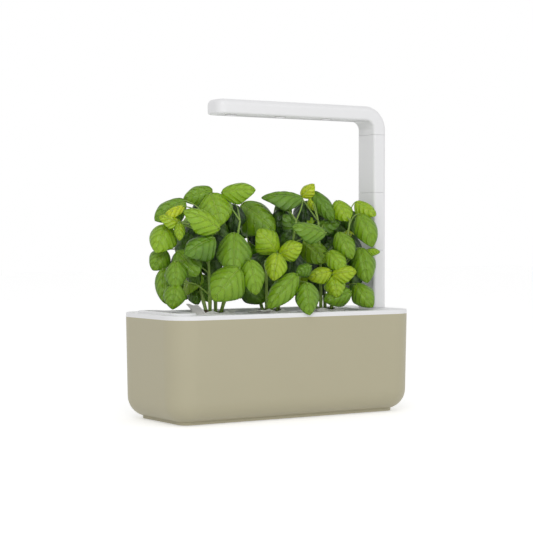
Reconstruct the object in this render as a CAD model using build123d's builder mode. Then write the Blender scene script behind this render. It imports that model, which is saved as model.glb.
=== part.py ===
from build123d import *
import os
from math import cos, radians, sin, sqrt, tan

# Countertop hydroponic garden: a water tank with a lid, three plant cups with their basil,
# a float that shows the water level and a lamp on a column of pull-apart arms.
# Millimetres, +Z up, X along the tank, the front face towards -Y, the origin on the table
# under the tank's middle.

os.makedirs("parts", exist_ok=True)


# ------------------------------------------------------------------ driving dimensions
# Tank
tank_length = 300.0
tank_width = 125.0
rim_height = 106.6  # table to the tank's rim
tank_corner = 27.0  # plan corner radius at the rim
tank_draft = 1.1  # degrees that the sides lean in towards the floor
tank_round = 22.0  # belly radius between the sides and the floor
tank_wall = 2.4
tank_floor = 2.4
plinth_inset = 17.5  # plinth edge inside the tank's plan
plinth_corner = 9.5
plinth_height = 2.8  # table to the underside of the belly

# Rubber feet
foot_radius = 6.0
foot_thickness = 1.8
foot_proud = 0.8
foot_inset = 13.0  # foot centre inside the plinth's edge

# Lid
lid_thickness = 4.5  # white band above the rim
lid_plate = 2.4
lid_edge = 0.8
skirt_wall = 2.0
skirt_depth = 6.0
fit_gap = 0.4  # loose fit between the lid and what it drops into

# Planting trough in the lid, between the inlet's frame and the lamp column
trough_column_gap = 32.5  # its right end to the column's middle
trough_border = 10.5  # along the front and back
trough_depth = 3.6
trough_corner = 18.0

# Plant cups
cup_names = ("left", "middle", "right")
# how the room that the flanges leave is shared out along the trough, from the left
cup_spacing = (14.0, 12.0, 12.0, 5.0)
cup_radius = 25.0  # outside, under the flange
cup_foot_radius = 21.0
cup_depth = 53.0
cup_wall = 1.5
flange_radius = 29.0
flange_thickness = 1.6
cup_slots = 6
cup_slot_width = 4.0
cup_slot_height = 20.0
cup_slot_rise = 4.5

# Wicks
wick_width = 12.0
wick_thickness = 3.0
wick_floor_gap = 3.0  # wick end above the tank's floor

# Soil pods and their paper labels
pod_gap = 0.3
pod_rise = 1.0  # pod top above the cup's flange
label_thickness = 0.6
label_inset = 0.5
label_hole = 15.0
flap_width = 17.0
flap_full_length = 16.0  # a flap of this length or more is cut at its full width
flap_neck = 0.3
flap_long = 15.0
flap_short = 9.0
flap_stub = 7.0

# Water inlet and float
inlet_inset = 22.5  # its middle in from the lid's left end
inlet_y = -4.0
inlet_width = 29.0
inlet_length = 92.0
inlet_proud = 2.0
bezel_round = 1.2
inlet_border = 7.0
neck_wall = 1.8
inlet_bar = 3.0  # bar between the pouring slot and the float's window
float_share = 0.42  # part of the slot's length that the float's window takes
guide_wall = 1.5
guide_floor_gap = 1.5
guide_window_width = 5.0
guide_window_spacing = 11.0
guide_window_margin = 15.0  # plain wall above and below the windows
float_gap = 0.8
float_height = 14.0
float_travel = 34.0
float_low = 2.0  # float bottom above the guide's floor when the tank is dry
stem_radius = 1.6
flag_height = 6.0

# Electronics case under the lid
case_past_column = 8.5  # its right end past the column's middle
case_width = 72.0
case_height = 24.0
case_wall = 1.8
board_thickness = 1.6
board_gap = 5.0
case_screw_radius = 1.4
case_screw_head = 2.6
screw_inset = 5.0
post_radius = 2.9  # posts under the lid that take the case's screws
post_drop = 8.0
standoff_spacing = 52.0
standoff_radius = 2.6
capacitor_radius = 4.0
capacitor_height = 9.0
coil_size = 9.0
coil_height = 6.0
chip_size = 6.0
chip_height = 1.6
jack_lead_spacing = 2.6
lead_reach = 10.0  # where the leads meet the board, in from its end
wire_bend_share = 0.6  # a wire's bend over the height it turns through

# Power inlet in the case's rear boss
boss_width = 14.0
boss_drop = 20.0  # boss underside below the rim
recess_radius = 5.0
recess_depth = 6.0
jack_radius = 4.4
jack_length = 11.0
jack_bore = 2.75
jack_pin = 1.0

# Lamp column: three arms of one size and the lamp head on top of them
column_inset = 13.5  # its middle in from the lid's right end
column_depth = 30.6  # along Y
column_thickness = 17.8  # along X
column_round = 6.0  # outer edges
inner_round = 2.8  # the edges towards the plants
column_wall = 2.0
arm_names = ("base_arm", "lower_extension", "upper_extension")
arm_length = 63.5
seam_gap = 0.2
plug_gap = 0.25
plug_below = 12.0
plug_above = 5.0
pin_count = 3
pin_spacing = 6.0
pin_radius = 0.8
pin_length = 4.0
pin_gap = 0.1
socket_height = 8.0
wire_radius = 0.7
same_place = 0.01  # nearer than this counts as one place

# Lamp head
head_rise = 31.1  # head top above its seam with the uppermost arm
head_length = 216.6  # its free end to the column's outer face
head_thickness = 16.0
elbow_outer = 26.0
elbow_inner = 9.5
head_end_round = 9.0  # plan radius of the free end's corners
panel_border = 3.6
panel_corner = 6.0
panel_thickness = 1.6
panel_recess = 0.6
panel_gap = 0.3
lens_first = 23.2  # the first lens's middle from the head's free end
lens_second = 84.7
lens_third = 144.7
lens_radius = 6.0
lens_height = 1.8
lens_proud = 0.5
led_size = 2.6
led_height = 0.8
chip_spacing = 5.0
led_board_width = 20.0
led_board_thickness = 1.6
spreader_thickness = 3.0
spreader_width = 24.0
spreader_fins = 5
fin_width = 1.6
fin_height = 3.0

# ------------------------------------------------------------------ places worked out
lid_top = rim_height + lid_thickness
plate_under = lid_top - lid_plate
inlet_x = inlet_inset - tank_length / 2
column_x = tank_length / 2 - column_inset
trough_floor = lid_top - trough_depth
trough_left = inlet_x + inlet_width / 2
trough_right = column_x - trough_column_gap
trough_width = tank_width - 2 * trough_border
trough_length = trough_right - trough_left
trough_middle = (trough_left + trough_right) / 2
tank_inside_floor = plinth_height + tank_floor
cup_share = (trough_length - 2 * flange_radius * len(cup_names)) / sum(cup_spacing)
cup_places = tuple(
    trough_left + cup_share * sum(cup_spacing[: i + 1]) + flange_radius * (2 * i + 1)
    for i in range(len(cup_names))
)
flange_top = trough_floor + flange_thickness
cup_bottom = trough_floor - cup_depth
pod_top = flange_top + pod_rise
pod_bottom = cup_bottom + cup_wall + pod_gap
plinth_length = tank_length - 2 * plinth_inset
plinth_width = tank_width - 2 * plinth_inset
case_bottom = plate_under - case_height
case_left = trough_right + lid_plate + fit_gap
case_right = column_x + case_past_column
case_middle = (case_left + case_right) / 2
inlet_hole_length = inlet_length - 2 * inlet_border
inlet_hole_width = inlet_width - 2 * inlet_border
neck_length = inlet_hole_length + 2 * neck_wall
neck_width = inlet_hole_width + 2 * neck_wall
bezel_top = lid_top + inlet_proud
column_inner = column_x - column_thickness / 2
column_outer = column_x + column_thickness / 2
cavity_depth = column_depth - 2 * column_wall
cavity_thickness = column_thickness - 2 * column_wall
plug_depth = cavity_depth - 2 * plug_gap
plug_thickness = cavity_thickness - 2 * plug_gap
plug_round = column_round - column_wall
arm_bottoms = tuple(lid_top + arm_length * i for i in range(len(arm_names)))
head_bottom = lid_top + arm_length * len(arm_names)
head_top = head_bottom + head_rise
head_under = head_top - head_thickness
head_left = column_outer - head_length
led_places = (head_left + lens_first, head_left + lens_second, head_left + lens_third)
case_length = case_right - case_left
case_front = case_width / 2
boss_end = tank_width / 2 - boss_drop * tan(radians(tank_draft)) - pin_gap
boss_bottom = rim_height - boss_drop
boss_top = plate_under
jack_z = boss_bottom + boss_drop / 2
well_wall_x = column_x - plug_thickness / 2 - plug_gap - case_wall / 2
board_top = case_bottom + case_wall + board_gap + board_thickness
board_length = well_wall_x - case_wall / 2 - case_left - case_wall - 2 * fit_gap
board_x = case_left + case_wall + fit_gap + board_length / 2
screw_places = [
    (case_left + screw_inset, case_front - screw_inset),
    (case_left + screw_inset, -case_front + screw_inset),
    (well_wall_x - screw_inset, case_front - screw_inset),
    (well_wall_x - screw_inset, -case_front + screw_inset),
]
board_width = case_width - 2 * case_wall - 2 * fit_gap
boss_x = board_x
notch_floor = boss_bottom - fit_gap


def bow(radius, depth):
    """How far an arc of this radius has curved away at this depth from its outermost line."""
    rest = max(0.0, radius - depth)
    return radius - sqrt(radius**2 - rest**2)


def save(piece, name):
    """Label a finished piece and write it as its own STEP file."""
    piece.part.label = name
    export_step(piece.part, f"parts/{name}.step")


# ------------------------------------------------------------------ tank and feet
def tub_form(inset, bottom):
    """The tank's tapering form with its round belly, set in from the outside by the wall."""
    with BuildPart() as form:
        with BuildSketch(Plane.XY.offset(rim_height)):
            RectangleRounded(tank_length - 2 * inset, tank_width - 2 * inset, tank_corner - inset)
        extrude(amount=-(rim_height - bottom), taper=tank_draft)
        fillet(form.edges().group_by(Axis.Z)[0], tank_round - inset)
    return form.part


with BuildPart() as tank:
    add(tub_form(0, plinth_height))
    with BuildSketch(Plane.XY.offset(foot_proud)):
        RectangleRounded(plinth_length, plinth_width, plinth_corner)
    extrude(amount=plinth_height + tank_floor / 2 - foot_proud)
    add(tub_form(tank_wall, tank_inside_floor), mode=Mode.SUBTRACT)
    # seats for the feet
    with Locations((0, 0, foot_proud)):
        with GridLocations(plinth_length - 2 * foot_inset, plinth_width - 2 * foot_inset, 2, 2):
            Cylinder(
                foot_radius,
                foot_thickness - foot_proud,
                align=(Align.CENTER, Align.CENTER, Align.MIN),
                mode=Mode.SUBTRACT,
            )
    # notch that the power inlet's boss drops into
    with Locations((boss_x, tank_width / 2, notch_floor)):
        Box(
            boss_width + 2 * fit_gap,
            4 * tank_wall,
            rim_height - notch_floor,
            align=(Align.CENTER, Align.CENTER, Align.MIN),
            mode=Mode.SUBTRACT,
        )
save(tank, "tank")

with BuildPart() as rubber_feet:
    with GridLocations(plinth_length - 2 * foot_inset, plinth_width - 2 * foot_inset, 2, 2):
        Cylinder(foot_radius, foot_thickness, align=(Align.CENTER, Align.CENTER, Align.MIN))
save(rubber_feet, "rubber_feet")


# ------------------------------------------------------------------ lid
band_width = tank_wall + fit_gap + skirt_wall
skirt_outside = tank_wall + fit_gap

with BuildPart() as lid:
    with BuildSketch(Plane.XY.offset(plate_under)):
        RectangleRounded(tank_length, tank_width, tank_corner)
    extrude(amount=lid_plate)
    with BuildSketch(Plane.XY.offset(rim_height)):
        RectangleRounded(tank_length, tank_width, tank_corner)
        RectangleRounded(
            tank_length - 2 * band_width,
            tank_width - 2 * band_width,
            tank_corner - band_width,
            mode=Mode.SUBTRACT,
        )
    extrude(amount=plate_under - rim_height)
    fillet(lid.edges().group_by(Axis.Z)[-1], lid_edge)
    # skirt that drops inside the tank
    with BuildSketch(Plane.XY.offset(rim_height - skirt_depth)):
        RectangleRounded(
            tank_length - 2 * skirt_outside,
            tank_width - 2 * skirt_outside,
            tank_corner - skirt_outside,
        )
        RectangleRounded(
            tank_length - 2 * band_width,
            tank_width - 2 * band_width,
            tank_corner - band_width,
            mode=Mode.SUBTRACT,
        )
    extrude(amount=skirt_depth + lid_thickness - lid_plate)
    # planting trough, its floor lower than the plate
    with BuildSketch(Plane.XY.offset(trough_floor - lid_plate)):
        with Locations((trough_middle, 0)):
            RectangleRounded(
                trough_length + 2 * lid_plate, trough_width + 2 * lid_plate, trough_corner + lid_plate
            )
    extrude(amount=trough_depth)
    with BuildSketch(Plane.XY.offset(trough_floor)):
        with Locations((trough_middle, 0)):
            RectangleRounded(trough_length, trough_width, trough_corner)
    extrude(amount=trough_depth, mode=Mode.SUBTRACT)
    fillet(lid.faces().sort_by(Axis.Z)[-1].inner_wires().edges(), lid_edge)
    # holes for the cups, the inlet frame and the lamp's plug
    with Locations(*[(x, 0, trough_floor) for x in cup_places]):
        Cylinder(cup_radius + fit_gap, 4 * lid_plate, mode=Mode.SUBTRACT)
    with BuildSketch(Plane.XY.offset(lid_top)):
        with Locations((inlet_x, inlet_y)):
            SlotOverall(neck_length + 2 * pin_gap, neck_width + 2 * pin_gap, rotation=90)
    extrude(amount=-2 * lid_plate, mode=Mode.SUBTRACT)
    with BuildSketch(Plane.XY.offset(lid_top)):
        with Locations((column_x, 0)):
            RectangleRounded(plug_thickness + 2 * plug_gap, plug_depth + 2 * plug_gap, plug_round)
    extrude(amount=-2 * lid_plate, mode=Mode.SUBTRACT)
    # the skirt stops either side of the power inlet's boss
    with Locations((boss_x, tank_width / 2 - band_width, rim_height - skirt_depth)):
        Box(
            boss_width + 2 * pin_gap,
            2 * band_width,
            skirt_depth,
            align=(Align.CENTER, Align.CENTER, Align.MIN),
            mode=Mode.SUBTRACT,
        )
    # posts that take the electronics case's screws
    with Locations(*[(x, y, plate_under) for x, y in screw_places]):
        Cylinder(post_radius, post_drop, align=(Align.CENTER, Align.CENTER, Align.MAX))
        Cylinder(
            case_screw_radius + pin_gap,
            post_drop,
            align=(Align.CENTER, Align.CENTER, Align.MAX),
            mode=Mode.SUBTRACT,
        )
save(lid, "lid")


# ------------------------------------------------------------------ water inlet and float
float_window = inlet_hole_length * float_share
pour_length = inlet_hole_length - float_window - inlet_bar
slot_back = inlet_y + inlet_hole_length / 2
slot_front = inlet_y - inlet_hole_length / 2
bar_y = slot_front + pour_length + inlet_bar / 2
float_y = slot_back - float_window / 2
guide_top = plate_under
guide_inside_width = inlet_hole_width
guide_inside_length = float_window
guide_reach = abs(inlet_x) + guide_inside_width / 2 + guide_wall
floor_reach = tank_length / 2 - tank_wall - (rim_height - tank_inside_floor) * tan(radians(tank_draft))
belly_rise = bow(tank_round - tank_wall, floor_reach - guide_reach)
guide_bottom = tank_inside_floor + belly_rise + guide_floor_gap

with BuildPart() as inlet_frame:
    with BuildSketch(Plane.XY.offset(lid_top)):
        with Locations((inlet_x, inlet_y)):
            SlotOverall(inlet_length, inlet_width, rotation=90)
    extrude(amount=inlet_proud)
    fillet(inlet_frame.edges().group_by(Axis.Z)[-1], bezel_round)
    with BuildSketch(Plane.XY.offset(plate_under)):
        with Locations((inlet_x, inlet_y)):
            SlotOverall(neck_length, neck_width, rotation=90)
    extrude(amount=lid_plate + inlet_proud / 2)
    with BuildSketch(Plane.XY.offset(plate_under)):
        with Locations((inlet_x, inlet_y)):
            SlotOverall(inlet_hole_length, inlet_hole_width, rotation=90)
    extrude(amount=bezel_top - plate_under, mode=Mode.SUBTRACT)
    with Locations((inlet_x, bar_y, plate_under)):
        Box(
            inlet_hole_width + neck_wall,
            inlet_bar,
            lid_plate,
            align=(Align.CENTER, Align.CENTER, Align.MIN),
        )
save(inlet_frame, "inlet_frame")

with BuildPart() as float_guide:
    with BuildSketch(Plane.XY.offset(guide_bottom)):
        with Locations((inlet_x, float_y)):
            RectangleRounded(
                guide_inside_width + 2 * guide_wall,
                guide_inside_length + 2 * guide_wall,
                guide_inside_width / 2,
            )
    extrude(amount=guide_top - guide_bottom)
    with BuildSketch(Plane.XY.offset(guide_bottom + guide_wall)):
        with Locations((inlet_x, float_y)):
            RectangleRounded(guide_inside_width, guide_inside_length, guide_inside_width / 2 - guide_wall)
    extrude(amount=guide_top - guide_bottom - guide_wall, mode=Mode.SUBTRACT)
    # windows that let the water in and out
    with Locations((inlet_x, float_y, (guide_top + guide_bottom) / 2)):
        with GridLocations(0, guide_window_spacing, 1, 2):
            Box(
                guide_inside_width + 4 * guide_wall,
                guide_window_width,
                guide_top - guide_bottom - 2 * guide_window_margin,
                mode=Mode.SUBTRACT,
            )
save(float_guide, "float_guide")

float_bottom = guide_bottom + guide_wall + float_low
flag_top = bezel_top - float_travel
with BuildPart() as float_body:
    with BuildSketch(Plane.XY.offset(float_bottom)):
        with Locations((inlet_x, float_y)):
            RectangleRounded(
                guide_inside_width - 2 * float_gap,
                guide_inside_length - 2 * float_gap,
                guide_inside_width / 2 - guide_wall - float_gap,
            )
    extrude(amount=float_height)
    fillet(float_body.edges().filter_by(GeomType.LINE, reverse=True).group_by(Axis.Z)[-1], float_gap)
save(float_body, "float_body")

with BuildPart() as float_flag:
    with Locations((inlet_x, float_y, float_bottom + float_height)):
        Cylinder(
            stem_radius,
            flag_top - flag_height - float_bottom - float_height,
            align=(Align.CENTER, Align.CENTER, Align.MIN),
        )
    with BuildSketch(Plane.XY.offset(flag_top - flag_height)):
        with Locations((inlet_x, float_y)):
            SlotOverall(
                guide_inside_length - 4 * float_gap, guide_inside_width - 4 * float_gap, rotation=90
            )
    extrude(amount=flag_height)
    fillet(float_flag.edges().group_by(Axis.Z)[-1], float_gap)
save(float_flag, "float_flag")


# ------------------------------------------------------------------ electronics under the lid

with BuildPart() as electronics_case:
    with BuildSketch(Plane.XY.offset(case_bottom)):
        with Locations((case_middle, 0)):
            RectangleRounded(case_length, case_width, case_wall * 2)
    extrude(amount=case_height)
    # rear boss that carries the power inlet
    with Locations((boss_x, case_front - case_wall, boss_bottom)):
        Box(
            boss_width,
            boss_end - case_front + case_wall,
            boss_top - boss_bottom - lid_thickness + lid_plate,
            align=(Align.CENTER, Align.MIN, Align.MIN),
        )
    # room for the board, open towards the lid
    with BuildSketch(Plane.XY.offset(case_bottom + case_wall)):
        with Locations((board_x, 0)):
            Rectangle(board_length + 2 * fit_gap, case_width - 2 * case_wall)
    extrude(amount=case_height - case_wall, mode=Mode.SUBTRACT)
    # well for the lamp column's plug
    with BuildSketch(Plane.XY.offset(case_bottom + case_wall)):
        with Locations((column_x, 0)):
            RectangleRounded(plug_thickness + 2 * plug_gap, plug_depth + 2 * plug_gap, plug_round)
    extrude(amount=case_height - case_wall, mode=Mode.SUBTRACT)
    # screw holes
    with Locations(*[(x, y, case_bottom + case_height / 2) for x, y in screw_places]):
        Cylinder(case_screw_radius + pin_gap, 2 * case_height, mode=Mode.SUBTRACT)
    # power inlet: recess for the plug's body, then the jack's seat
    with Locations(Plane(origin=(boss_x, boss_end, jack_z), z_dir=(0, -1, 0))):
        Cylinder(
            recess_radius,
            recess_depth,
            align=(Align.CENTER, Align.CENTER, Align.MIN),
            mode=Mode.SUBTRACT,
        )
        Cylinder(
            jack_radius + pin_gap,
            recess_depth + jack_length + pin_gap,
            align=(Align.CENTER, Align.CENTER, Align.MIN),
            mode=Mode.SUBTRACT,
        )
    # ways for the leads: from the jack to the board, and through the well's wall to the contacts
    with Locations((boss_x, case_front, jack_z)):
        Box(
            2 * jack_lead_spacing,
            2 * (boss_end - recess_depth - jack_length - case_front),
            2 * jack_lead_spacing,
            mode=Mode.SUBTRACT,
        )
    with Locations((well_wall_x, 0, board_top + wire_radius)):
        Box(2 * case_wall, (pin_count + 1) * pin_spacing, 4 * wire_radius, mode=Mode.SUBTRACT)
save(electronics_case, "electronics_case")

jack_face = boss_end - recess_depth
with BuildPart() as dc_inlet:
    with Locations(Plane(origin=(boss_x, jack_face, jack_z), z_dir=(0, -1, 0))):
        Cylinder(jack_radius, jack_length, align=(Align.CENTER, Align.CENTER, Align.MIN))
        Cylinder(
            jack_bore,
            jack_length - case_wall,
            align=(Align.CENTER, Align.CENTER, Align.MIN),
            mode=Mode.SUBTRACT,
        )
        Cylinder(
            jack_pin, jack_length - case_wall / 2, align=(Align.CENTER, Align.CENTER, Align.MIN)
        )
save(dc_inlet, "dc_inlet")

with BuildPart() as driver_board:
    with Locations((board_x, 0, board_top)):
        Box(
            board_length,
            board_width,
            board_thickness,
            align=(Align.CENTER, Align.CENTER, Align.MAX),
        )
    with Locations(*[(x, y, board_top) for x, y in screw_places]):
        Cylinder(case_screw_radius + fit_gap, 4 * board_thickness, mode=Mode.SUBTRACT)
    # standoffs that hold the board above the case's floor
    with Locations((board_x, 0, case_bottom + case_wall)):
        with GridLocations(0, standoff_spacing, 1, 2):
            Cylinder(standoff_radius, board_gap, align=(Align.CENTER, Align.CENTER, Align.MIN))
save(driver_board, "driver_board")

with BuildPart() as driver_parts:
    with Locations((board_x, board_width / 4, board_top), (board_x, -board_width / 4, board_top)):
        Cylinder(capacitor_radius, capacitor_height, align=(Align.CENTER, Align.CENTER, Align.MIN))
    with Locations((board_x, 0, board_top)):
        Box(coil_size, coil_size, coil_height, align=(Align.CENTER, Align.CENTER, Align.MIN))
    with Locations((board_x, coil_size + fit_gap, board_top), (board_x, -coil_size - fit_gap, board_top)):
        Box(
            chip_size,
            chip_size,
            chip_height,
            align=(Align.CENTER, Align.CENTER, Align.MIN),
        )
save(driver_parts, "driver_parts")

with BuildPart() as case_screws:
    with Locations(*[(x, y, case_bottom) for x, y in screw_places]):
        Cylinder(case_screw_radius, case_height - lid_plate, align=(Align.CENTER, Align.CENTER, Align.MIN))
        Cylinder(case_screw_head, case_wall, align=(Align.CENTER, Align.CENTER, Align.MAX))
save(case_screws, "case_screws")


# ------------------------------------------------------------------ connectors of the lamp column
def plug_block(name, seam):
    """The plug of a section that stands on the seam: its lower part drops into the section below."""
    with BuildPart() as plug:
        with BuildSketch(Plane.XY.offset(seam - plug_below)):
            with Locations((column_x, 0)):
                RectangleRounded(plug_thickness, plug_depth, plug_round)
        extrude(amount=plug_below + plug_above)
        with Locations((column_x, 0, seam)):
            with GridLocations(0, pin_spacing, 1, pin_count):
                Cylinder(pin_radius + pin_gap / 2, 4 * plug_below, mode=Mode.SUBTRACT)
    save(plug, name + "_plug")


def plug_pins(name, seam):
    """Contact pins through the plug, standing out below it."""
    with BuildPart() as pins:
        with Locations((column_x, 0, seam - plug_below - pin_length)):
            with GridLocations(0, pin_spacing, 1, pin_count):
                Cylinder(
                    pin_radius,
                    pin_length + plug_below + plug_above,
                    align=(Align.CENTER, Align.CENTER, Align.MIN),
                )
    save(pins, name + "_pins")


def socket_block(name, seam):
    """The contact block that takes the pins of the section standing on the seam."""
    top = seam - plug_below - pin_gap
    with BuildPart() as socket:
        with BuildSketch(Plane.XY.offset(top - socket_height)):
            with Locations((column_x, 0)):
                RectangleRounded(plug_thickness, plug_depth, plug_round)
        extrude(amount=socket_height)
        with Locations((column_x, 0, top)):
            with GridLocations(0, pin_spacing, 1, pin_count):
                Cylinder(pin_radius + pin_gap, 2 * (pin_length + pin_gap), mode=Mode.SUBTRACT)
    save(socket, name + "_socket")


def straight_wires(name, low, high):
    """The wires between a section's plug pins and its own socket."""
    with BuildPart() as wires:
        with Locations((column_x, 0, low)):
            with GridLocations(0, pin_spacing, 1, pin_count):
                Cylinder(wire_radius, high - low, align=(Align.CENTER, Align.CENTER, Align.MIN))
    save(wires, name + "_wires")


def column_section(inset):
    """Plan section of the column, set in by the wall: its outer edges are the rounder ones."""
    with BuildSketch(mode=Mode.PRIVATE) as section:
        with Locations((column_x, 0)):
            Rectangle(column_thickness - 2 * inset, column_depth - 2 * inset)
        fillet(section.vertices().group_by(Axis.X)[-1], column_round - inset)
        fillet(section.vertices().group_by(Axis.X)[0], inner_round - inset)
    return section.sketch


socket_block("case", lid_top)
for i, name in enumerate(arm_names):
    bottom = arm_bottoms[i]
    top = bottom + arm_length
    with BuildPart() as arm_shell:
        with BuildSketch(Plane.XY.offset(bottom + seam_gap)):
            add(column_section(0))
            add(column_section(column_wall), mode=Mode.SUBTRACT)
        extrude(amount=arm_length - seam_gap)
    save(arm_shell, name + "_shell")
    plug_block(name, bottom)
    plug_pins(name, bottom)
    socket_block(name, top)
    straight_wires(name, bottom + plug_above, top - plug_below - pin_gap - socket_height)


# ------------------------------------------------------------------ lamp head
def lamp_form(inset):
    """The bent, rounded form of the lamp head, set in from its outside by the wall."""
    leg_inner = column_inner + inset
    leg_outer = column_outer - inset
    top = head_top - inset
    under = head_under + inset
    left = head_left + inset
    with BuildPart() as form:
        with BuildSketch(Plane.XZ.offset(-(column_depth / 2 - inset))) as profile:
            with BuildLine():
                Polyline(
                    (leg_inner, head_bottom + seam_gap),
                    (leg_outer, head_bottom + seam_gap),
                    (leg_outer, top),
                    (left, top),
                    (left, under),
                    (leg_inner, under),
                    close=True,
                )
            make_face()
            fillet(profile.vertices().group_by(Axis.X)[-1].sort_by(Axis.Y)[-1], elbow_outer - inset)
            knee = profile.vertices().filter_by_position(Axis.X, leg_inner - same_place, leg_inner + same_place)
            fillet(knee.sort_by(Axis.Y)[-1], elbow_inner + inset)
        extrude(amount=column_depth - 2 * inset)
        fillet(form.edges().filter_by(Axis.Z).group_by(Axis.X)[0], head_end_round - inset)
        crown = form.faces().sort_by(Axis.Z)[-1]
        fillet(crown.edges().filter_by(Axis.X), column_round - inset)
        underside = form.faces().filter_by_position(Axis.Z, under - same_place, under + same_place)
        fillet(underside.edges().filter_by(Axis.X), inner_round - inset)
    return form.part


panel_left = head_left + head_end_round
panel_right = column_inner - elbow_inner
panel_length = panel_right - panel_left
panel_x = (panel_left + panel_right) / 2
panel_width = column_depth - 2 * panel_border
panel_bottom = head_under + panel_recess
lens_bottom = panel_bottom - lens_proud
led_board_bottom = lens_bottom + lens_height + panel_gap + led_height
led_board_top = led_board_bottom + led_board_thickness
led_board_length = panel_length - 2 * panel_corner

with BuildPart() as lamp_shell:
    add(lamp_form(0))
    add(lamp_form(column_wall), mode=Mode.SUBTRACT)
    # opening that the light panel sits in
    with BuildSketch(Plane.XY.offset(head_under - column_wall)):
        with Locations((panel_x, 0)):
            RectangleRounded(panel_length + 2 * panel_gap, panel_width + 2 * panel_gap, panel_corner)
    extrude(amount=3 * column_wall, mode=Mode.SUBTRACT)
save(lamp_shell, "lamp_shell")

with BuildPart() as light_panel:
    with BuildSketch(Plane.XY.offset(panel_bottom)):
        with Locations((panel_x, 0)):
            RectangleRounded(panel_length, panel_width, panel_corner)
    extrude(amount=panel_thickness)
    with Locations(*[(x, 0, panel_bottom) for x in led_places]):
        Cylinder(lens_radius + panel_gap, 4 * panel_thickness, mode=Mode.SUBTRACT)
save(light_panel, "light_panel")

with BuildPart() as led_lenses:
    with Locations(*[(x, 0, lens_bottom) for x in led_places]):
        Cylinder(lens_radius, lens_height, align=(Align.CENTER, Align.CENTER, Align.MIN))
    fillet(led_lenses.edges().group_by(Axis.Z)[0], lens_proud)
save(led_lenses, "led_lenses")

with BuildPart() as led_board:
    with Locations((panel_x, 0, led_board_bottom)):
        Box(
            led_board_length,
            led_board_width,
            led_board_thickness,
            align=(Align.CENTER, Align.CENTER, Align.MIN),
        )
save(led_board, "led_board")

with BuildPart() as led_chips:
    with Locations(*[(x, 0, led_board_bottom) for x in led_places]):
        with GridLocations(chip_spacing, chip_spacing, 2, 2):
            Box(led_size, led_size, led_height, align=(Align.CENTER, Align.CENTER, Align.MAX))
save(led_chips, "led_chips")

with BuildPart() as heat_spreader:
    with Locations((panel_x, 0, led_board_top)):
        Box(
            led_board_length,
            spreader_width,
            spreader_thickness,
            align=(Align.CENTER, Align.CENTER, Align.MIN),
        )
    with Locations((panel_x, 0, led_board_top + spreader_thickness)):
        with GridLocations(0, (spreader_width - fin_width) / (spreader_fins - 1), 1, spreader_fins):
            Box(
                led_board_length,
                fin_width,
                fin_height,
                align=(Align.CENTER, Align.CENTER, Align.MIN),
            )
save(heat_spreader, "heat_spreader")

plug_block("lamp", head_bottom)
plug_pins("lamp", head_bottom)

wire_start = head_bottom + plug_above
wire_level = (led_board_bottom + led_board_top) / 2
wire_bend = wire_bend_share * (wire_level - wire_start)
board_end = panel_x + led_board_length / 2
with BuildPart() as lamp_wires:
    for i in range(pin_count):
        y = pin_spacing * (i - (pin_count - 1) / 2)
        with BuildLine() as run:
            FilletPolyline(
                (column_x, y, wire_start),
                (column_x, y, wire_level),
                (board_end, y, wire_level),
                radius=wire_bend,
            )
        with BuildSketch(Plane.XY.offset(wire_start)):
            with Locations((column_x, y)):
                Circle(wire_radius)
        sweep(path=run.wire())
save(lamp_wires, "lamp_wires")


# ------------------------------------------------------------------ leads in the electronics case
lead_left = board_x + coil_size / 2 + wire_radius
lead_right = column_x - plug_thickness / 2
with BuildPart() as lamp_leads:
    with Locations(Plane(origin=(lead_left, 0, board_top + wire_radius), z_dir=(1, 0, 0))):
        with GridLocations(0, pin_spacing, 1, pin_count):
            Cylinder(wire_radius, lead_right - lead_left, align=(Align.CENTER, Align.CENTER, Align.MIN))
save(lamp_leads, "lamp_leads")

lead_start = jack_face - jack_length
lead_end = board_width / 2 - lead_reach
with BuildPart() as jack_leads:
    for x in (boss_x - jack_lead_spacing / 2, boss_x + jack_lead_spacing / 2):
        with BuildLine() as run:
            FilletPolyline(
                (x, lead_start, jack_z),
                (x, lead_end, jack_z),
                (x, lead_end, board_top),
                radius=wire_bend_share * (jack_z - board_top),
            )
        with BuildSketch(Plane(origin=(x, lead_start, jack_z), z_dir=(0, -1, 0))):
            Circle(wire_radius)
        sweep(path=run.wire())
save(jack_leads, "jack_leads")


# ------------------------------------------------------------------ cups, wicks, pods and labels
cup_inside_height = cup_depth - cup_wall + flange_thickness


def cup_bore(height):
    """Inside radius of a cup at this height."""
    share = (height - cup_bottom - cup_wall) / cup_inside_height
    return cup_foot_radius - cup_wall + (cup_radius - cup_foot_radius) * share


pod_radius = cup_bore(flange_top) - pod_gap
label_radius = pod_radius - label_inset
# for each label, its torn flaps: direction round the pod in degrees, length, lean from upright
label_flaps = {
    "left": ((180, flap_long, 38), (8, flap_short, 60)),
    "middle": ((222, flap_short, 62), (40, flap_stub, 66)),
    "right": ((205, flap_short, 64), (330, flap_stub, 60)),
}

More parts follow.
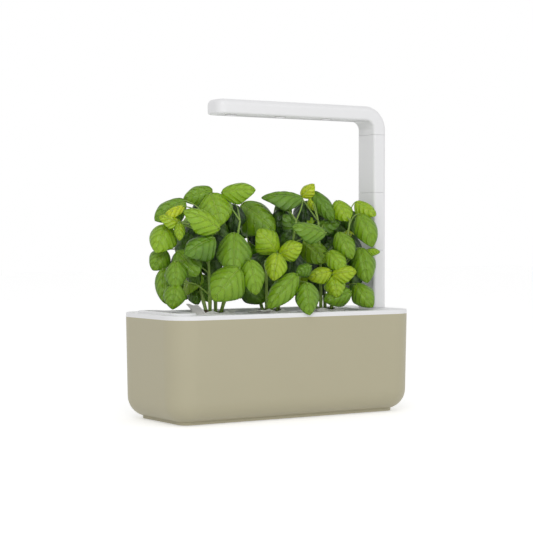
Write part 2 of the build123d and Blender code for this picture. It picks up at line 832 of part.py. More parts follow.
for name, x in zip(cup_names, cup_places):
    with BuildPart() as cup:
        with Locations((x, 0, cup_bottom)):
            Cone(cup_foot_radius, cup_radius, cup_depth, align=(Align.CENTER, Align.CENTER, Align.MIN))
        with Locations((x, 0, trough_floor)):
            Cylinder(flange_radius, flange_thickness, align=(Align.CENTER, Align.CENTER, Align.MIN))
        fillet(cup.edges().group_by(Axis.Z)[-1], flange_thickness / 2)
        with Locations((x, 0, cup_bottom + cup_wall)):
            Cone(
                cup_foot_radius - cup_wall,
                cup_radius - cup_wall,
                cup_inside_height,
                align=(Align.CENTER, Align.CENTER, Align.MIN),
                mode=Mode.SUBTRACT,
            )
        # root slots and the wick's slot
        with Locations((x, 0, cup_bottom + cup_slot_rise)):
            with PolarLocations(cup_foot_radius, cup_slots, 180 / cup_slots):
                Box(
                    8 * cup_wall,
                    cup_slot_width,
                    cup_slot_height,
                    align=(Align.CENTER, Align.CENTER, Align.MIN),
                    mode=Mode.SUBTRACT,
                )
        with Locations((x, 0, cup_bottom)):
            Box(
                wick_width + 2 * pin_gap,
                wick_thickness + 2 * pin_gap,
                4 * cup_wall,
                mode=Mode.SUBTRACT,
            )
    save(cup, "cup_" + name)

    wick_low = tank_inside_floor + wick_floor_gap
    with BuildPart() as wick:
        with Locations((x, 0, wick_low)):
            Box(
                wick_width,
                wick_thickness,
                cup_bottom + cup_wall - wick_low,
                align=(Align.CENTER, Align.CENTER, Align.MIN),
            )
    save(wick, "wick_" + name)

    with BuildPart() as pod:
        with Locations((x, 0, pod_bottom)):
            Cone(
                cup_bore(pod_bottom) - pod_gap,
                pod_radius,
                flange_top - pod_bottom,
                align=(Align.CENTER, Align.CENTER, Align.MIN),
            )
        with Locations((x, 0, flange_top)):
            Cylinder(pod_radius, pod_rise, align=(Align.CENTER, Align.CENTER, Align.MIN))
        fillet(pod.edges().group_by(Axis.Z)[-1], label_inset)
    save(pod, "soil_pod_" + name)

    with BuildPart() as label:
        with Locations((x, 0, pod_top)):
            Cylinder(label_radius, label_thickness, align=(Align.CENTER, Align.CENTER, Align.MIN))
            Cylinder(label_hole, 4 * label_thickness, mode=Mode.SUBTRACT)
        for turn, length, lean in label_flaps[name]:
            out = Vector(cos(radians(turn)), sin(radians(turn)), 0)
            up = out * sin(radians(lean)) + Vector(0, 0, cos(radians(lean)))
            root = Vector(x, 0, pod_top) + out * (label_radius - 2 * label_thickness)
            side = Vector(-out.Y, out.X, 0)
            with Locations(Plane(origin=root, x_dir=side, z_dir=up)):
                Box(
                    flap_width * min(1.0, length / flap_full_length + flap_neck),
                    label_thickness,
                    length,
                    align=(Align.CENTER, Align.CENTER, Align.MIN),
                )
        with Locations((x, 0, pod_top)):
            Cylinder(
                flange_radius,
                flange_thickness,
                align=(Align.CENTER, Align.CENTER, Align.MAX),
                mode=Mode.SUBTRACT,
            )
    save(label, "pod_label_" + name)


# ------------------------------------------------------------------ basil
# Each plant is several stems from one pod, with leaves on short stalks. A leaf is folded on its rib.
# Leaves on the showing side are placed as they look from the front left corner: their middle
# on an upright sheet turned by sheet_turn, as seen from eye_distance away at eye_height, then
# how far forward or back they hang, which is their y. Heights are above the lid.
sheet_turn = 33.0
eye_distance = 1700.0
eye_height = 79.9
blade_thickness = 1.0
blade_fold = 14.0  # how far each half leans down from the rib, in degrees
# half the outline of a leaf, as shares of its length and width
blade_edge = (
    (0.0, -0.02),
    (0.0, 0.08),
    (0.05, 0.27),
    (0.16, 0.42),
    (0.32, 0.5),
    (0.52, 0.47),
    (0.72, 0.35),
    (0.88, 0.18),
    (1.0, 0.0),
    (1.0, -0.02),
)
stalk_across = 1.5
stalk_drop = 12.0  # how far below a leaf's base its stalk leaves the stem
stem_low = 3.2
stem_high = 2.3
stem_collar = 1.8
stem_knee = 42.0
stem_top = 96.0
stem_spread = 2.2  # how far a stem leans out over its height, times its start from the middle
stem_spread_y = 1.6
stem_starts = ((-6.0, -4.0), (5.0, -6.0), (-4.0, 6.0), (6.0, 5.0))

sheet_right = Vector(cos(radians(sheet_turn)), -sin(radians(sheet_turn)), 0)
sheet_front = Vector(-sin(radians(sheet_turn)), -cos(radians(sheet_turn)), 0)
straight_up = Vector(0, 0, 1)

# side, height, y, aim of the tip in degrees, lean of the tip to the front, tilt of the face
# from front to up, length, width
shown_leaves = {
    "left": (
        (-107, 106, 12, 213, 10, 30, 40, 30),
        (-104, 102, -2, 214, 10, 60, 31, 16),
        (-77, 123, 6, 200, 5, 25, 33, 24),
        (-32, 127, -24, 5, 10, 25, 38, 25),
        (-57, 107, -16, -72, 20, 30, 38, 40),
        (-73, 97, -28, 153, 15, 35, 44, 30),
        (-106, 96, -6, 163, 15, 35, 26, 17),
        (-115, 76, 5, -115, 15, 22, 33, 31),
        (-96, 84, -16, -90, 10, 20, 20, 12),
        (-118, 53, 18, -120, 10, 15, 27, 24),
        (-75, 68, -28, -150, 20, 35, 38, 34),
        (-87, 50, -12, -50, 20, 20, 36, 34),
        (-100, 37, -18, -90, 15, 15, 31, 24),
        (-112, 25, 8, -88, 5, 5, 38, 21),
        (-102, 14, -20, -100, 10, 10, 28, 24),
        (-80, 35, 5, -60, 5, 10, 22, 16),
        (-79, 15, 18, -70, 5, 5, 20, 17),
        (-47, 27, -46, -130, 15, 15, 46, 40),
        (-38, 61, -38, -90, 20, 22, 45, 38),
        (-17, 34, -54, -78, 5, 15, 39, 25),
        (-55, 79, 5, -80, 0, 20, 36, 32),
        (-62, 49, 8, -70, 0, 15, 34, 28),
        (-90, 67, 12, -110, 0, 15, 34, 30),
        (-48, 94, 5, -60, 0, 30, 34, 30),
    ),
    "middle": (
        (-11, 98, 2, -40, 15, 30, 50, 44),
        (-3, 75, -26, 130, 10, 30, 34, 32),
        (13, 120, -8, 178, 10, 52, 46, 29),
        (16, 106, 6, -65, 5, 20, 26, 18),
        (24, 91, -20, 130, 5, 25, 30, 23),
        (23, 65, -40, 22, 10, 22, 28, 24),
        (6, 46, -44, -100, 15, 20, 31, 25),
        (36, 43, -48, -150, 10, 20, 19, 17),
        (13, 20, -50, -132, 15, 18, 50, 26),
        (41, 12, -67, -84, 5, 10, 35, 26),
        (42, 86, -48, 170, 20, 35, 39, 26),
        (22, 44, -10, -90, 0, 10, 30, 26),
        (-16, 18, 2, -40, 5, 5, 32, 28),
        (2, 67, 8, -80, 0, 20, 36, 32),
        (2, 34, 4, -75, 0, 10, 34, 30),
    ),
    "right": (
        (41, 128, 0, 45, 10, 30, 20, 18),
        (48, 113, -4, -60, 10, 30, 18, 16),
        (58, 110, -10, -56, 10, 25, 42, 21),
        (78, 106, -18, -60, 20, 35, 28, 26),
        (103, 108, -24, -35, 20, 38, 29, 23),
        (104, 84, -34, -67, 15, 22, 43, 27),
        (101, 47, -38, -80, 15, 15, 42, 28),
        (101, 15, -44, -55, 15, 15, 34, 26),
        (111, 63, -40, -5, 5, 30, 16, 10),
        (81, 68, -38, -62, 15, 22, 36, 24),
        (72, 52, -42, -50, 15, 22, 30, 22),
        (48, 63, -15, -45, 20, 30, 38, 31),
        (62, 91, -5, 10, 5, 30, 32, 23),
        (53, 38, -36, -162, 10, 22, 28, 20),
        (80, 40, -50, 8, 10, 22, 28, 21),
        (70, 25, -44, -80, 10, 20, 25, 24),
        (72, 15, -42, -160, 10, 10, 33, 24),
        (86, 81, -12, -30, 5, 25, 13, 10),
        (88, 92, 0, -70, 0, 20, 32, 27),
        (76, 74, 5, -80, 0, 15, 36, 32),
        (62, 49, 10, -70, 0, 15, 34, 30),
        (85, 31, 5, -90, 0, 10, 34, 30),
    ),
}

# leaves on the far side stand in rings round the back of each plant
far_rings = 3
far_per_ring = 4
far_low = 27.0
far_ring_rise = 32.0
far_reach_x = 17.0
far_reach_y = 50.0
far_middle_y = 8.0
far_length = 36.0
far_width = 29.0
far_taper = 0.1  # how much the upper rings draw in
far_stagger = 0.3  # how far each ring turns against the one below, in leaves
far_fall = 62.0  # how steeply the lowest ring hangs, in degrees
far_fall_step = 8.0
far_shrink = 0.08
far_wobble = 5.0


def sheet_spot(side, height, y):
    """The point that shows at this side and height of the sheet and lies at this y."""
    turn = radians(sheet_turn)
    depth = (y + sin(turn) * side) / (cos(turn) - sin(turn) * side / eye_distance)
    grow = 1 + depth / eye_distance
    spot = sheet_right * side * grow - sheet_front * depth
    return Vector(spot.X, spot.Y, lid_top + eye_height + (height - eye_height) * grow)


def shown_frames(name):
    """Middle, direction, face and size of each leaf on the showing side."""
    for side, height, y, aim, lean, tilt, length, width in shown_leaves[name]:
        flat = sheet_right * cos(radians(aim)) + straight_up * sin(radians(aim))
        along = flat * cos(radians(lean)) + sheet_front * sin(radians(lean))
        face = sheet_front * cos(radians(tilt)) + straight_up * sin(radians(tilt))
        yield sheet_spot(side, height, y), along, face, length, width


def far_frames(x):
    """The same for the rings of leaves round the back of the plant at x."""
    for ring in range(far_rings):
        for k in range(far_per_ring):
            turn = radians(180 * (k + 0.5 + far_stagger * (-1) ** ring) / far_per_ring)
            out = Vector(cos(turn), sin(turn), 0)
            shrink = 1.0 - far_taper * ring * (ring - 1)
            middle = Vector(
                x + far_reach_x * out.X * shrink,
                far_middle_y + far_reach_y * out.Y * shrink,
                lid_top + far_low + far_ring_rise * ring + far_wobble * sin(7 * turn),
            )
            fall = radians(far_fall - far_fall_step * ring)
            along = out * cos(fall) - straight_up * sin(fall)
            face = out * sin(fall) + straight_up * cos(fall)
            size = 1.0 - far_shrink * ((k + ring) % 3)
            yield middle, along, face, far_length * size, far_width * size


def blade_form(length, width):
    """A leaf blade lying along X, its base at the origin, folded up a little along its rib."""
    edge = [(length * along, width * across) for along, across in blade_edge]
    with BuildPart() as half:
        with BuildSketch():
            with BuildLine():
                Polyline(*edge, close=True)
            make_face()
        extrude(amount=blade_thickness / 2, both=True)
    raised = half.part.rotate(Axis.X, -blade_fold)
    with BuildPart() as blade:
        add(raised)
        mirror(raised, about=Plane.XZ)
    return blade.part


def rod(start, end, across):
    """A square rod between two points: basil's stems are square."""
    run = end - start
    return Plane(origin=start, z_dir=run.normalized()) * Box(
        across, across, run.length, align=(Align.CENTER, Align.CENTER, Align.MIN)
    )


def stem_points(x, start):
    """A stem's foot, knee and top: it leans away from the plant's middle as it rises."""
    a, b = start
    foot = Vector(x + a, b, pod_top)
    knee = foot + Vector(a * stem_spread / 2, b * stem_spread, stem_knee)
    tip = foot + Vector(a * stem_spread, b * stem_spread * stem_spread_y, stem_top)
    return foot, knee, tip


def stem_at(points, height):
    """Where a stem passes this height."""
    foot, knee, tip = points
    low, high = (foot, knee) if height < knee.Z else (knee, tip)
    share = min(1.0, max(0.0, (height - low.Z) / (high.Z - low.Z)))
    return low + (high - low) * share


for name, x in zip(cup_names, cup_places):
    stems = [stem_points(x, start) for start in stem_starts]
    pieces = []
    for foot, knee, tip in stems:
        collar = foot + straight_up * stem_collar
        pieces.append(rod(foot, collar + straight_up, stem_low))
        pieces.append(rod(collar, knee, stem_low))
        pieces.append(rod(knee - straight_up, tip, stem_high))
    for middle, along, face, length, width in list(shown_frames(name)) + list(far_frames(x)):
        base = middle - along * (length / 2)
        normal = (face - along * face.dot(along)).normalized()
        seat = Plane(origin=base, x_dir=along, z_dir=normal)
        pieces.append(seat * blade_form(length, width))
        height = max(pod_top + stalk_drop, base.Z - stalk_drop)
        start = min((stem_at(points, height) for points in stems), key=lambda p: (p - base).length)
        pieces.append(rod(start, base + along * stalk_across, stalk_across))
    with BuildPart() as basil:
        add(pieces)
    save(basil, "basil_" + name)
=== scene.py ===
# %% [markdown]
# # A countertop hydroponic garden
# A tank of water with a white lid, three basil plants in lift-out cups, and a lamp on a column.
# The hard parts come ready-made as the frame: they only need their finish. The living and soft
# parts are modelled here: leaves, stems, growing medium, torn paper covers and felt wicks.
# Everything is in metres, +Z up, X along the tank, and the front of the tank looks to -Y.

# %% Load the frame
import math

import bpy
import numpy as np
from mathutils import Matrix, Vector


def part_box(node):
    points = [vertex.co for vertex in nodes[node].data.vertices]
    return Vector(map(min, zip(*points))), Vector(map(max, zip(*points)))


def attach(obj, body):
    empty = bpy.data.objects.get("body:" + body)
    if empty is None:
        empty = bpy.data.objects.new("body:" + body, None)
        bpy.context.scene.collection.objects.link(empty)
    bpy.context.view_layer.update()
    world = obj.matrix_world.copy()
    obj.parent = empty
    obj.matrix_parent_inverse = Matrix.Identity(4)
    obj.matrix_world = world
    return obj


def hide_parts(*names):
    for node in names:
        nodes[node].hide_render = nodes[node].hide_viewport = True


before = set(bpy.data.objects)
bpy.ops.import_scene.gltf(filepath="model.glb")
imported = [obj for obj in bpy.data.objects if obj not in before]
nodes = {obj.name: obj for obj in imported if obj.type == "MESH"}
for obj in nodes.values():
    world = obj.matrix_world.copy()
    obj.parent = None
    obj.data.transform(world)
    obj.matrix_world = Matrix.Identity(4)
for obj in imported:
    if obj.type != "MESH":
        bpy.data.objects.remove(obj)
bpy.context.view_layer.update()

scene = bpy.context.scene

# %% [markdown]
# ## The camera
# The garden is seen from its front left, a little above the rim of the tank, with a long lens.
# A long lens from far away keeps the upright edges of the lamp column nearly parallel.

# %% Place the camera
EYE = Vector((-0.93054, -1.4234, 0.19137))
YAW = math.radians(33.07)
PITCH = math.radians(-1.13)
LENS = 107.9
SENSOR = 36.0
NEAREST = 0.05


def place_camera():
    """The view from the front left corner."""
    lens = bpy.data.cameras.new("view")
    lens.lens = LENS
    lens.sensor_width = SENSOR
    lens.sensor_fit = "HORIZONTAL"
    lens.clip_start = NEAREST
    camera = bpy.data.objects.new("view", lens)
    camera.location = EYE
    camera.rotation_euler = (math.pi / 2 + PITCH, 0, -YAW)
    scene.collection.objects.link(camera)
    scene.camera = camera
    return camera


camera = place_camera()
print("camera", tuple(round(v, 3) for v in camera.location), "lens", LENS)

# %% [markdown]
# ## Building shader trees
# A material is a small tree of nodes. A few short helpers keep the recipes readable: they add a
# node and plug in its inputs, or make a node group with named sockets, which is how an effect is
# built once and used by many materials.


# %% Helpers for nodes and groups
def feed(tree, socket, value):
    """Another node's output is linked to the socket, and a number or colour is set on it."""
    if isinstance(value, bpy.types.NodeSocket):
        tree.links.new(value, socket)
    else:
        socket.default_value = value


def put(tree, kind, settings=None, **sockets):
    """Add a node with its settings, and feed the sockets named."""
    node = tree.nodes.new(kind)
    for key, value in (settings or {}).items():
        setattr(node, key, value)
    for name, value in sockets.items():
        feed(tree, node.inputs[name.replace("_", " ")], value)
    return node


def sums(tree, operation, *values):
    """A Math node: its inputs in order, links or numbers."""
    node = put(tree, "ShaderNodeMath", {"operation": operation})
    for socket, value in zip(node.inputs, values):
        feed(tree, socket, value)
    return node.outputs[0]


def blend_colour(tree, share, first, second):
    """A Mix node for colours."""
    node = put(tree, "ShaderNodeMix", {"data_type": "RGBA"})
    for index, value in ((0, share), (6, first), (7, second)):
        feed(tree, node.inputs[index], value)
    return node.outputs[2]


def new_material(name):
    """A new material, its tree of nodes and its surface shader."""
    material = bpy.data.materials.new(name)
    material.use_nodes = True
    tree = material.node_tree
    return material, tree, tree.nodes["Principled BSDF"]


def object_place(tree):
    """Where each point of the piece is, in metres."""
    return put(tree, "ShaderNodeTexCoord").outputs["Object"]


def set_sockets(surface, **values):
    """Set plain values on a surface shader's own sockets."""
    for name, value in values.items():
        surface.inputs[name.replace("_", " ")].default_value = value


def add_relief(tree, surface, height, strength, distance):
    """Bump the surface by a height."""
    relief = put(tree, "ShaderNodeBump", Height=height, Strength=strength, Distance=distance)
    tree.links.new(relief.outputs[0], surface.inputs["Normal"])


def opaque(colour):
    """Red, green and blue with full cover."""
    return tuple(colour) + (1.0,)


def new_group(name, inputs, outputs):
    """An empty node group with named sockets: each input is (name, kind, value)."""
    tree = bpy.data.node_groups.new(name, "ShaderNodeTree")
    for label, kind, value in inputs:
        socket = tree.interface.new_socket(label, in_out="INPUT", socket_type="NodeSocket" + kind)
        if value is not None:
            socket.default_value = value
    for label, kind in outputs:
        tree.interface.new_socket(label, in_out="OUTPUT", socket_type="NodeSocket" + kind)
    return tree, tree.nodes.new("NodeGroupInput"), tree.nodes.new("NodeGroupOutput")


def use_group(tree, group, **sockets):
    """Place a node group in a material, with its own values."""
    return put(tree, "ShaderNodeGroup", {"node_tree": group}, **sockets)


def grey(value):
    return (value, value, value, 1.0)


# %% [markdown]
# ## The light table
# The floor and the world are plain white to the camera, so the garden stands on white with only
# a soft shadow round its foot. The light itself is close to even, like a light tent: most comes
# from the world, and three large lamps give the faces a little direction.

# %% Floor, world and lamps
FLOOR_REACH = 6.0
FLOOR_COLOUR = 0.82
FLOOR_GLOW = 0.14
FLOOR_GLOW_SEEN = 0.30
WORLD_LIGHT = 0.65
LAMP_SIZE = 0.9
LAMP_AIM_HEIGHT = 0.15
LAMPS = (
    ("key lamp", (-1.2, -1.6, 1.2), 13.0),
    ("low lamp", (0.2, -2.2, 0.5), 2.5),
    ("side lamp", (1.5, -1.6, 1.1), 2.1),
)


def light_table():
    """A wide floor whose bare parts show as white and that keeps the shadow."""
    mesh = bpy.data.meshes.new("floor")
    r = FLOOR_REACH
    mesh.from_pydata([(-r, -r, 0), (r, -r, 0), (r, r, 0), (-r, r, 0)], [], [(0, 1, 2, 3)])
    floor = bpy.data.objects.new("floor", mesh)
    scene.collection.objects.link(floor)
    material, tree, surface = new_material("floor white")
    set_sockets(
        surface,
        Base_Color=grey(FLOOR_COLOUR),
        Roughness=0.9,
        Specular_IOR_Level=0.1,
        Emission_Color=grey(1.0),
    )
    path = put(tree, "ShaderNodeLightPath")
    seen = sums(tree, "MAXIMUM", path.outputs["Is Camera Ray"], path.outputs["Is Glossy Ray"])
    glow = sums(tree, "MULTIPLY_ADD", seen, FLOOR_GLOW_SEEN, FLOOR_GLOW)
    tree.links.new(glow, surface.inputs["Emission Strength"])
    floor.data.materials.append(material)


def even_world():
    """White behind the garden, an even light on it."""
    world = bpy.data.worlds.new("tent")
    world.use_nodes = True
    tree = world.node_tree
    background = tree.nodes["Background"]
    background.inputs["Color"].default_value = grey(1.0)
    path = put(tree, "ShaderNodeLightPath")
    seen = sums(tree, "MAXIMUM", path.outputs["Is Camera Ray"], path.outputs["Is Glossy Ray"])
    seen = sums(tree, "MAXIMUM", seen, path.outputs["Is Transmission Ray"])
    strength = sums(tree, "ADD", sums(tree, "MULTIPLY", seen, 1.0 - WORLD_LIGHT), WORLD_LIGHT)
    tree.links.new(strength, background.inputs["Strength"])
    scene.world = world


def panel_lamp(name, place, power):
    """A large square lamp that looks at the middle of the garden."""
    light = bpy.data.lights.new(name, "AREA")
    light.size = LAMP_SIZE
    light.energy = power
    lamp = bpy.data.objects.new(name, light)
    lamp.location = place
    aim = Vector((0, 0, LAMP_AIM_HEIGHT)) - Vector(place)
    lamp.rotation_euler = aim.to_track_quat("-Z", "Y").to_euler()
    scene.collection.objects.link(lamp)


light_table()
even_world()
for name, place, power in LAMPS:
    panel_lamp(name, place, power)
scene.view_settings.view_transform = "Standard"
print("world", WORLD_LIGHT, "lamps", len(LAMPS))

# %% [markdown]
# ## Moulded plastic
# Most of the garden is injection-moulded plastic. It looks plain, but it isn't a flat colour: the
# mould gives it a grain too fine to see as dots, which only breaks up the reflections, and the
# gloss and shade drift slowly over a large wall. One group makes both, and every plastic here
# places it with its own values.


# %% The grain group
def moulded_grain():
    tree, given, out = new_group(
        "moulded grain",
        [("Place", "Vector", None), ("Grain", "Float", 2500.0), ("Drift", "Float", 14.0)],
        [("Height", "Float"), ("Patch", "Float")],
    )
    place = given.outputs["Place"]
    fine = put(tree, "ShaderNodeTexNoise", Vector=place, Scale=given.outputs["Grain"], Detail=2.0)
    slow = put(tree, "ShaderNodeTexNoise", Vector=place, Scale=given.outputs["Drift"], Detail=3.0)
    tree.links.new(fine.outputs[0], out.inputs["Height"])
    tree.links.new(slow.outputs[0], out.inputs["Patch"])
    return tree


GRAIN = moulded_grain()


ROUGH_DRIFT = 0.08
GRAIN_DEPTH = 0.0001
TRACK_DEPTH = 0.00005


def plastic(name, colour, rough, grain=2500.0, bump=0.08, drift=0.04, **more):
    """A moulded plastic: colour and gloss that drift a little, under a fine grain."""
    material, tree, surface = new_material(name)
    texture = use_group(tree, GRAIN, Place=object_place(tree), Grain=grain)
    patch = texture.outputs["Patch"]
    darker = opaque(tuple(c * (1.0 - 2 * drift) for c in colour))
    feed(tree, surface.inputs["Base Color"], blend_colour(tree, patch, darker, opaque(colour)))
    roughness = sums(tree, "MULTIPLY_ADD", patch, 2 * ROUGH_DRIFT, rough - ROUGH_DRIFT)
    feed(tree, surface.inputs["Roughness"], roughness)
    add_relief(tree, surface, texture.outputs["Height"], bump, GRAIN_DEPTH)
    set_sockets(surface, **more)
    return material


def finish_node(name, material):
    """Give a ready-made piece its finish."""
    slots = nodes[name].material_slots
    for slot in slots:
        slot.material = material
    if not slots:
        nodes[name].data.materials.append(material)


# %% Beige tank, white lid and lamp
BEIGE = (0.445, 0.412, 0.285)
WHITE = (0.80, 0.80, 0.81)

beige = plastic("beige tank", BEIGE, 0.42, grain=1800.0, bump=0.16, drift=0.02, Specular_IOR_Level=0.4)
white = plastic("white lid", WHITE, 0.38, bump=0.06, drift=0.01)
lamp_white = plastic("white lamp", WHITE, 0.34, bump=0.05, drift=0.01)
trim = plastic("white inlet trim", WHITE, 0.3, bump=0.05, drift=0.01)
cup_grey = plastic("pale cup", (0.72, 0.72, 0.71), 0.45, bump=0.1)
case_grey = plastic("pale case", (0.66, 0.66, 0.65), 0.5, bump=0.12)

finish_node("tank", beige)
finish_node("lid", white)
finish_node("inlet_frame", trim)
ARMS = ("base_arm", "lower_extension", "upper_extension")
PLANTS = ("left", "middle", "right")
for arm in ARMS:
    finish_node(arm + "_shell", lamp_white)
finish_node("lamp_shell", lamp_white)
for side in PLANTS:
    finish_node("cup_" + side, cup_grey)
for name in ("float_guide", "electronics_case"):
    finish_node(name, case_grey)
print("moulded finishes on", 6 + len(ARMS) + len(PLANTS), "pieces")

# %% [markdown]
# ## The small technical parts
# The float is matt foam-filled plastic with an orange flag. Inside the column are black contact
# blocks with gold pins and red wires. The lamp's underside is a satin diffuser, and each lens is
# clear plastic over a dark light source, so it shows as a small dark dot.


# %% Metals, rubber, board and light source
def metal(name, colour, rough, brush=(1.0, 1.0, 1.0)):
    """Bare metal with fine brushing drawn out along one direction."""
    material, tree, surface = new_material(name)
    set_sockets(surface, Base_Color=opaque(colour), Metallic=1.0)
    drawn = put(tree, "ShaderNodeMapping", Vector=object_place(tree), Scale=brush)
    lines = put(tree, "ShaderNodeTexNoise", Vector=drawn.outputs[0], Scale=900.0, Detail=3.0)
    roughness = sums(tree, "MULTIPLY_ADD", lines.outputs[0], 0.25, rough - 0.12)
    feed(tree, surface.inputs["Roughness"], roughness)
    add_relief(tree, surface, lines.outputs[0], 0.1, GRAIN_DEPTH)
    return material


def circuit_board(name, mask, copper):
    """Solder mask over copper tracks: the tracks show as a slightly lighter maze."""
    material, tree, surface = new_material(name)
    square = {"distance": "CHEBYCHEV"}
    cells = put(tree, "ShaderNodeTexVoronoi", square, Vector=object_place(tree), Scale=420.0)
    track = sums(tree, "GREATER_THAN", cells.outputs["Distance"], 0.42)
    feed(tree, surface.inputs["Base Color"], blend_colour(tree, track, opaque(mask), opaque(copper)))
    add_relief(tree, surface, track, 0.2, TRACK_DEPTH)
    set_sockets(surface, Roughness=0.35)
    return material


finish_node("rubber_feet", plastic("foot rubber", (0.03, 0.03, 0.032), 0.8, grain=1200.0, bump=0.3))
finish_node("float_body", plastic("float white", (0.74, 0.74, 0.72), 0.55))
finish_node("float_flag", plastic("flag orange", (0.72, 0.16, 0.02), 0.4))
contact_black = plastic("contact black", (0.03, 0.03, 0.032), 0.45, bump=0.15)
gold = metal("contact gold", (0.85, 0.58, 0.22), 0.3, (1.0, 1.0, 0.1))
wire_red = plastic("wire red", (0.42, 0.02, 0.015), 0.4)
for part in ARMS + ("lamp",):
    finish_node(part + "_plug", contact_black)
    finish_node(part + "_pins", gold)
    finish_node(part + "_wires", wire_red)
for part in ARMS + ("case",):
    finish_node(part + "_socket", contact_black)
for name in ("jack_leads", "lamp_leads"):
    finish_node(name, wire_red)
finish_node("dc_inlet", plastic("inlet black", (0.025, 0.025, 0.027), 0.5, bump=0.15))
finish_node("driver_board", circuit_board("green board", (0.02, 0.12, 0.04), (0.05, 0.22, 0.08)))
finish_node("driver_parts", plastic("part black", (0.05, 0.05, 0.055), 0.4, bump=0.15))
finish_node("case_screws", metal("screw steel", (0.62, 0.62, 0.63), 0.35))
finish_node("heat_spreader", metal("spreader aluminium", (0.78, 0.79, 0.80), 0.4, (0.05, 1.0, 1.0)))
finish_node("led_board", circuit_board("white board", (0.80, 0.80, 0.78), (0.70, 0.70, 0.68)))
finish_node("led_chips", plastic("led phosphor", (0.80, 0.62, 0.10), 0.3, bump=0.02))
finish_node("light_panel", plastic("satin diffuser", (0.74, 0.74, 0.745), 0.5, bump=0.1, drift=0.01))
finish_node(
    "led_lenses",
    plastic("dark lens", (0.22, 0.20, 0.22), 0.12, bump=0.02, Coat_Weight=0.6, Coat_Roughness=0.08),
)
print("technical finishes done")

# %% [markdown]
# ## Meshes from grids of points
# A leaf, a stem, a plug of soil and a strip of paper are all bent sheets or tubes. Each is worked
# out as a grid of points with plain arithmetic, because a formula can hold the shape's own habits,
# such as a leaf's quilting between its veins, and then it is joined into faces.


# %% Turn grids into faces
def grid_faces(rows, columns, start=0, flip=False, wrap=False):
    """Quads over a grid of points, numbered row by row from start."""
    faces = []
    last = columns if wrap else columns - 1
    for r in range(rows - 1):
        for c in range(last):
            a = start + r * columns + c
            b = start + r * columns + (c + 1) % columns
            quad = (a, b, b + columns, a + columns)
            faces.append(quad[::-1] if flip else quad)
    return faces


class Pile:
    """Collects the grids of one piece, then makes a single object of them."""

    def __init__(self):
        self.points, self.faces, self.uvs, self.tones, self.kinds = [], [], [], [], []
        self.count = 0

    def add(self, points, faces, uvs=None, tone=0.5, kinds=None):
        points = np.asarray(points, float).reshape(-1, 3)
        self.faces += [tuple(i + self.count for i in face) for face in faces]
        self.points.append(points)
        if uvs is None:
            uvs = np.zeros((len(points), 2))
        self.uvs.append(np.asarray(uvs, float).reshape(-1, 2))
        self.tones.append(np.full(len(points), tone))
        self.kinds += kinds or [0] * len(faces)
        self.count += len(points)

    def build(self, name, materials):
        mesh = bpy.data.meshes.new(name)
        mesh.from_pydata(np.concatenate(self.points).tolist(), [], self.faces)
        for material in materials:
            mesh.materials.append(material)
        mesh.polygons.foreach_set("material_index", self.kinds)
        mesh.polygons.foreach_set("use_smooth", [True] * len(mesh.polygons))
        uv = mesh.uv_layers.new(name="UVMap")
        corner = np.zeros(len(mesh.loops), int)
        mesh.loops.foreach_get("vertex_index", corner)
        uv.data.foreach_set("uv", np.concatenate(self.uvs)[corner].ravel())
        tone = mesh.attributes.new("tone", "FLOAT", "POINT")
        tone.data.foreach_set("value", np.concatenate(self.tones))
        mesh.update()
        piece = bpy.data.objects.new(name, mesh)
        scene.collection.objects.link(piece)
        return piece


def smooth_path(points, steps=8):
    """Points along a rounded line through the given ones (Catmull-Rom)."""
    p = [np.asarray(q, float) for q in points]
    p = [2 * p[0] - p[1]] + p + [2 * p[-1] - p[-2]]
    line = []
    for i in range(1, len(p) - 2):
        a, b, c, d = p[i - 1 : i + 3]
        for t in np.linspace(0, 1, steps, endpoint=False):
            line.append(
                0.5
                * (
                    2 * b
                    + (c - a) * t
                    + (2 * a - 5 * b + 4 * c - d) * t**2
                    + (3 * b - a - 3 * c + d) * t**3
                )
            )
    line.append(p[-2])
    return np.array(line)


def tube_points(line, radii, sides=8, square=0.0):
    """Rings of points round a line. A square share makes the ring a rounded square."""
    rings = []
    side = None
    for i, middle in enumerate(line):
        ahead = line[min(i + 1, len(line) - 1)] - line[max(i - 1, 0)]
        ahead = ahead / np.linalg.norm(ahead)
        side = np.cross(ahead, (0.3, 0.9, 0.1)) if side is None else side - ahead * side.dot(ahead)
        side = side / np.linalg.norm(side)
        other = np.cross(ahead, side)
        ring = []
        for k in range(sides):
            turn = 2 * math.pi * k / sides
            reach = radii[i] * (1 + square * (math.cos(4 * turn) - 1) * -0.5)
            ring.append(middle + reach * (math.cos(turn) * side + math.sin(turn) * other))
        rings.append(ring)
    return np.array(rings)


def add_tube(pile, line, radii, sides=8, square=0.0, tone=0.5, kind=0):
    """A closed tube along a line."""
    rings = tube_points(line, radii, sides, square)
    points = np.concatenate([rings.reshape(-1, 3), [line[0]], [line[-1]]])
    faces = grid_faces(len(line), sides, wrap=True)
    head, tail = len(points) - 2, len(points) - 1
    top = (len(line) - 1) * sides
    faces += [(head, (k + 1) % sides, k) for k in range(sides)]
    faces += [(tail, top + k, top + (k + 1) % sides) for k in range(sides)]
    pile.add(points, faces, tone=tone, kinds=[kind] * len(faces))


# %% [markdown]
# ## A basil leaf
# A basil leaf is a broad oval with a short point. It isn't flat: it bows down along its length,
# its halves hang from the rib, and between the side veins it is quilted up, so each leaf catches
# the light in soft pillows. The blade is a grid of points from base to tip (along) and from edge
# to edge (across), thick enough to be solid, with paler skin beneath.

# %% Shape one blade
ALONG, ACROSS = 34, 21
BLADE = 0.0004
VEIN_PAIRS = 4.8
VEIN_SWEEP = 0.42
VEIN_CURL = 1.35
seed = np.random.default_rng(7)


